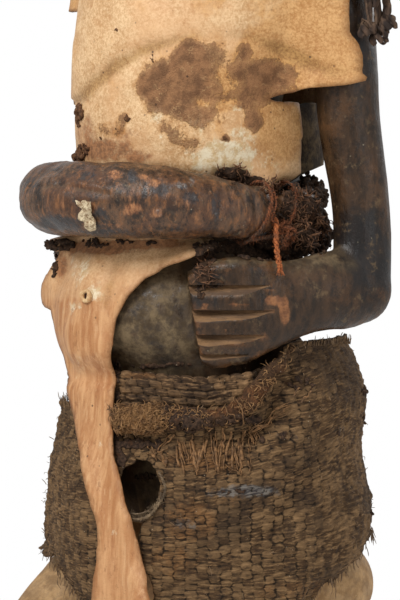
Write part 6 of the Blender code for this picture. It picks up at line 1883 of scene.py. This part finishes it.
CRUST = crust_look("dark_crust", srgb(36, 27, 22), srgb(88, 66, 50))
EARTH = crust_look("brown_crust", srgb(72, 48, 34), srgb(124, 88, 60))
every = list(TREES.values())
make_crust("crust_hide", [
    (80, 112, 4, 8, 110, 1.2, 2.4), (79, 123, 2.5, 4, 24, 1.0, 1.0), (76, 157, 8, 6, 190, 1.4, 4.2), (84, 150, 6, 6, 60, 1.1, 1.4),
    (127, 119, 3, 4, 26, 0.8, 0.8), (121, 126, 6, 5, 20, 0.5, 0.3), (100, 138, 2.5, 3, 10, 0.6, 0.4), (117, 30, 2.5, 2, 10, 0.6, 0.6), (152, 58, 2, 5, 14, 0.6, 0.5), (225, 138, 3, 2.5, 14, 0.7, 0.6),
], [TREES["hide"]], EARTH, 201, 0.7)
make_crust("crust_belt", [
    (231, 173, 15, 6, 200, 1.3, 4.0), (252, 180, 12, 4, 70, 1.1, 1.8), (240, 182, 10, 3, 40, 1.0, 0.8), (238, 160, 10, 3, 10, 0.6, 0.3), (285, 190, 14, 5, 60, 1.0, 1.2), (296, 198, 12, 12, 190, 1.3, 2.6), (288, 208, 6, 12, 80, 1.2, 1.6),
    (308, 210, 12, 12, 170, 1.4, 3.0), (300, 226, 10, 10, 110, 1.3, 2.4), (318, 226, 8, 12, 70, 1.2, 1.8), (322, 205, 8, 8, 50, 1.2, 1.6), (314, 182, 13, 12, 220, 1.5, 2.6), (322, 196, 8, 12, 90, 1.4, 2.2),
], [TREES["belt"], TREES["hide"]], CRUST, 203, 0.75)
make_crust("crust_under", [
    (240, 247, 48, 6, 340, 1.4, 2.6), (262, 256, 26, 5, 160, 1.3, 2.0), (206, 256, 12, 8, 140, 1.3, 2.0), (202, 272, 8, 12, 150, 1.2, 2.0), (214, 284, 10, 5, 60, 1.0, 1.2), (200, 292, 5, 8, 40, 1.0, 1.0),
    (96, 243, 14, 5, 50, 1.1, 1.1), (126, 241, 12, 3, 28, 1.0, 0.9), (150, 243, 8, 3, 14, 0.9, 0.7), (62, 245, 14, 6, 110, 1.2, 1.6), (50, 246, 5, 6, 60, 1.2, 1.8), (55, 262, 4, 16, 60, 1.0, 1.0), (300, 250, 30, 6, 160, 1.3, 1.8), (318, 240, 12, 8, 70, 1.2, 1.6), 
], [TREES["figure"], TREES["hide"], TREES["belt"]], CRUST, 207, 0.8)
make_crust("crust_skirt", [
    (118, 372, 3, 12, 60, 1.0, 1.6), (117, 400, 3, 10, 50, 1.0, 1.6), (118, 440, 4, 16, 80, 1.1, 1.8), (122, 460, 6, 8, 60, 1.1, 1.6), (190, 424, 22, 8, 200, 1.2, 2.2), (240, 420, 26, 6, 120, 1.1, 1.8), (136, 444, 16, 5, 90, 1.1, 1.8),
    (146, 476, 12, 4, 60, 1.0, 1.2), (158, 446, 5, 8, 30, 1.0, 1.2), (180, 364, 14, 2.5, 50, 0.9, 1.0), (150, 366, 20, 3, 60, 0.9, 1.0), (300, 384, 16, 8, 60, 1.0, 1.4), (262, 440, 4, 3, 24, 1.0, 1.4), (285, 436, 8, 5, 24, 0.9, 0.8), (340, 432, 4, 4, 16, 0.9, 0.8),
    (364, 391, 3, 4, 26, 1.2, 2.0), (374, 512, 4, 5, 30, 1.3, 2.4), (364, 420, 2.5, 5, 16, 1.1, 1.4), (240, 491, 6, 3, 18, 0.7, 0.5), (224, 492, 8, 3, 18, 0.7, 0.5), (264, 492, 8, 3, 18, 0.7, 0.5),
], [TREES["left"], TREES["right"], TREES["roll"], TREES["band"], TREES["figure"]], CRUST, 211, 0.8)

# matted fibre and earth wedged between the tube's thin end, the trunk and the forearm
rng = np.random.default_rng(53)
parts = []
for (cx, cy, cz), (a, b, c), count in (((79, 25, 446), (8, 8, 15), 420), ((83, 13, 434), (9, 8, 8), 280), ((77, 34, 439), (8, 8, 17), 340), ((70, 44, 436), (8, 8, 12), 160), ((82, 8, 458), (8, 8, 9), 240), ((70, 12, 430), (12, 12, 11), 420), ((63, -3, 437), (7, 7, 8), 160), ((76, 4, 442), (7, 7, 7), 140), ((75, -4, 446), (6, 6, 8), 120), ((88, 6, 440), (7, 7, 8), 160)):
    for _ in range(count):
        d = rng.normal(size=3)
        d *= rng.uniform(0, 1) ** 0.3333 / np.linalg.norm(d)
        parts.append(grain(np.array([cx, cy, cz]) + d * [a, b, c], rng.uniform(1.0, 2.4), rng))
wad = fused("wedged_matter", parts, 1.0, 1, [CRUST])
p, n = points_of(wad), normals_of(wad)
move_points(wad, p + n * ((fbm(p, 3.0, 2, 5) - 0.5) * 1.4)[:, None])
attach(wad, "root")
TREES["wad"] = tree_of(wad)

# fibres among the crust at the belt's thin end
rng = np.random.default_rng(43)
tufts = []
for _ in range(420):
    cx, cy, a, b = ((300, 208, 18, 18), (232, 172, 16, 6), (310, 230, 18, 20), (272, 186, 14, 8), (206, 270, 8, 16))[rng.choice(5, p=[0.28, 0.12, 0.36, 0.14, 0.1])]
    t, r = rng.uniform(0, 2 * math.pi), math.sqrt(rng.uniform())
    at, n = landing(cx + a * r * math.cos(t), cy + b * r * math.sin(t), [TREES["belt"], TREES["hide"], TREES["figure"], TREES["wad"]])
    if at is None:
        continue
    side = np.cross(n, rng.normal(size=3))
    side /= max(np.linalg.norm(side), 1e-6)
    long = rng.uniform(2.5, 7)
    tufts.append(strand([tuple(at), tuple(at + n * rng.uniform(1.5, 4.0) + side * long * 0.4), tuple(at + n * rng.uniform(0.5, 4.0) + side * long)], rng.uniform(0.2, 0.5), 4, 7))
points, faces = joined(tufts)
tuft = new_object("belt_tufts", points, faces, [straw_look("dark_fibre", srgb(84, 58, 42), srgb(132, 92, 62), srgb(48, 36, 30))])
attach(tuft, "root")

# the torn pale scrap on the tube
k = Look("pale_scrap", 0.75, 0.3)
chip_noise = k.noise(2.4, 6, 0.76)
pale = k.finish(k.mix(k.step(chip_noise, 0.34, 0.62), srgb(128, 94, 62), srgb(230, 212, 176)), 0.75, k.bump(chip_noise, 0.8))
scrap = patch("belt_scrap", [(77, 200), (83, 202), (88, 200), (93, 202), (94, 209), (92, 215), (97, 219), (98, 227), (92, 228), (87, 225), (86, 220), (80, 218), (81, 212), (84, 208), (79, 204)], TREES["belt"], 0.5, 2.6, 0.6, pale, 301, 0.8)

# the wart round the small hole of the apron
at, n = landing(87, 296, [TREES["hide"]])
side = np.cross(n, [0, 0, 1])
side /= np.linalg.norm(side)
high = np.cross(side, n)
ring = [at + n * 0.9 + side * 3.5 * math.cos(t) * (1 + 0.12 * math.sin(2 * t)) + high * 3.1 * math.sin(t) for t in np.linspace(0, 2 * math.pi, 33)]
k = Look("wart_skin", 0.6, 0.35)
wn = k.noise(4, 4, 0.7)
parts = [tube(ring, 1.55 + 0.35 * np.sin(np.linspace(0, 2 * math.pi, 33) * 2 + 1), 14)]
wart = fused("apron_wart", parts, 0.6, 1, [k.finish(k.mix(k.step(wn, 0.35, 0.65), srgb(186, 140, 92), srgb(222, 190, 142)), 0.6, k.bump(wn, 0.4))])
p, nn = points_of(wart), normals_of(wart)
move_points(wart, p + nn * ((fbm(p, 3, 2, 5) - 0.5) * 0.8)[:, None])
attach(wart, "root")
# painted shade: a dark cone for the shade inside the small hole, which is not cut
k = Look("hole_shade_dark", 0.9, 0.1)
hole_shade = new_object("apron_hole_shade", *joined([tube([at + n * 0.1, at + n * 0.5, at + n * 0.9], [2.6, 2.3, 0.5], 16)]), [k.finish(k.mix(k.step(k.noise(2, 3), 0.4, 0.6), srgb(34, 22, 16), srgb(62, 38, 26)), 0.9)])
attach(hole_shade, "root")

# ---------------------------------------------------------------- light, floor and the end


def area_light(name, at, to, size, power, colour=(1, 1, 1), size_y=None):
    data = bpy.data.lights.new(name, "AREA")
    data.energy, data.color, data.size = power, colour, size
    if size_y:
        data.shape, data.size_y = "RECTANGLE", size_y
    light = bpy.data.objects.new(name, data)
    bpy.context.scene.collection.objects.link(light)
    light.location = at
    light.rotation_euler = (Vector(to) - Vector(at)).to_track_quat("-Z", "Y").to_euler()
    return light


def make_light():
    world = bpy.data.worlds.new("studio")
    bpy.context.scene.world = world
    world.use_nodes = True
    tree = world.node_tree
    soft = tree.nodes["Background"]
    soft.inputs[0].default_value, soft.inputs[1].default_value = (1, 1, 1, 1), 0.52
    seen = tree.nodes.new("ShaderNodeBackground")
    seen.inputs[0].default_value, seen.inputs[1].default_value = (1, 1, 1, 1), 1.0
    path, pick = tree.nodes.new("ShaderNodeLightPath"), tree.nodes.new("ShaderNodeMixShader")
    tree.links.new(path.outputs["Is Camera Ray"], pick.inputs[0])
    tree.links.new(soft.outputs[0], pick.inputs[1])
    tree.links.new(seen.outputs[0], pick.inputs[2])
    tree.links.new(pick.outputs[0], tree.nodes["World Output"].inputs["Surface"])
    right, up = CAM_RIGHT, np.array([0, 0, 1.0])
    middle = np.array([0, 0, 0.42])
    area_light("key", middle + CAM_DIR * 1.15 - right * 0.85 + up * 1.15, middle, 0.75, 24)
    area_light("fill", middle + CAM_DIR * 1.3 + right * 1.25 + up * 0.25, middle, 1.2, 4.5)
    area_light("back", middle - CAM_DIR * 1.2 + right * 0.9 + up * 0.9, middle, 1.1, 9)
    turn = np.linspace(0, 2 * math.pi, 96, endpoint=False)
    rings = [np.stack([np.cos(turn) * r, np.sin(turn) * r, np.full(96, z)], 1) for r, z in ((40, -0.6), (985, -0.6), (996, -3), (1000, -8), (990, -14), (40, -16))]
    points, faces = loft(rings)
    k = Look("studio_floor", 0.75)
    floor = new_object("studio_floor", points, faces, [k.finish(k.mix(k.noise(60, 3), srgb(232, 231, 229), srgb(238, 237, 235)))])


bpy.context.scene.view_settings.view_transform = "Standard"
make_light()
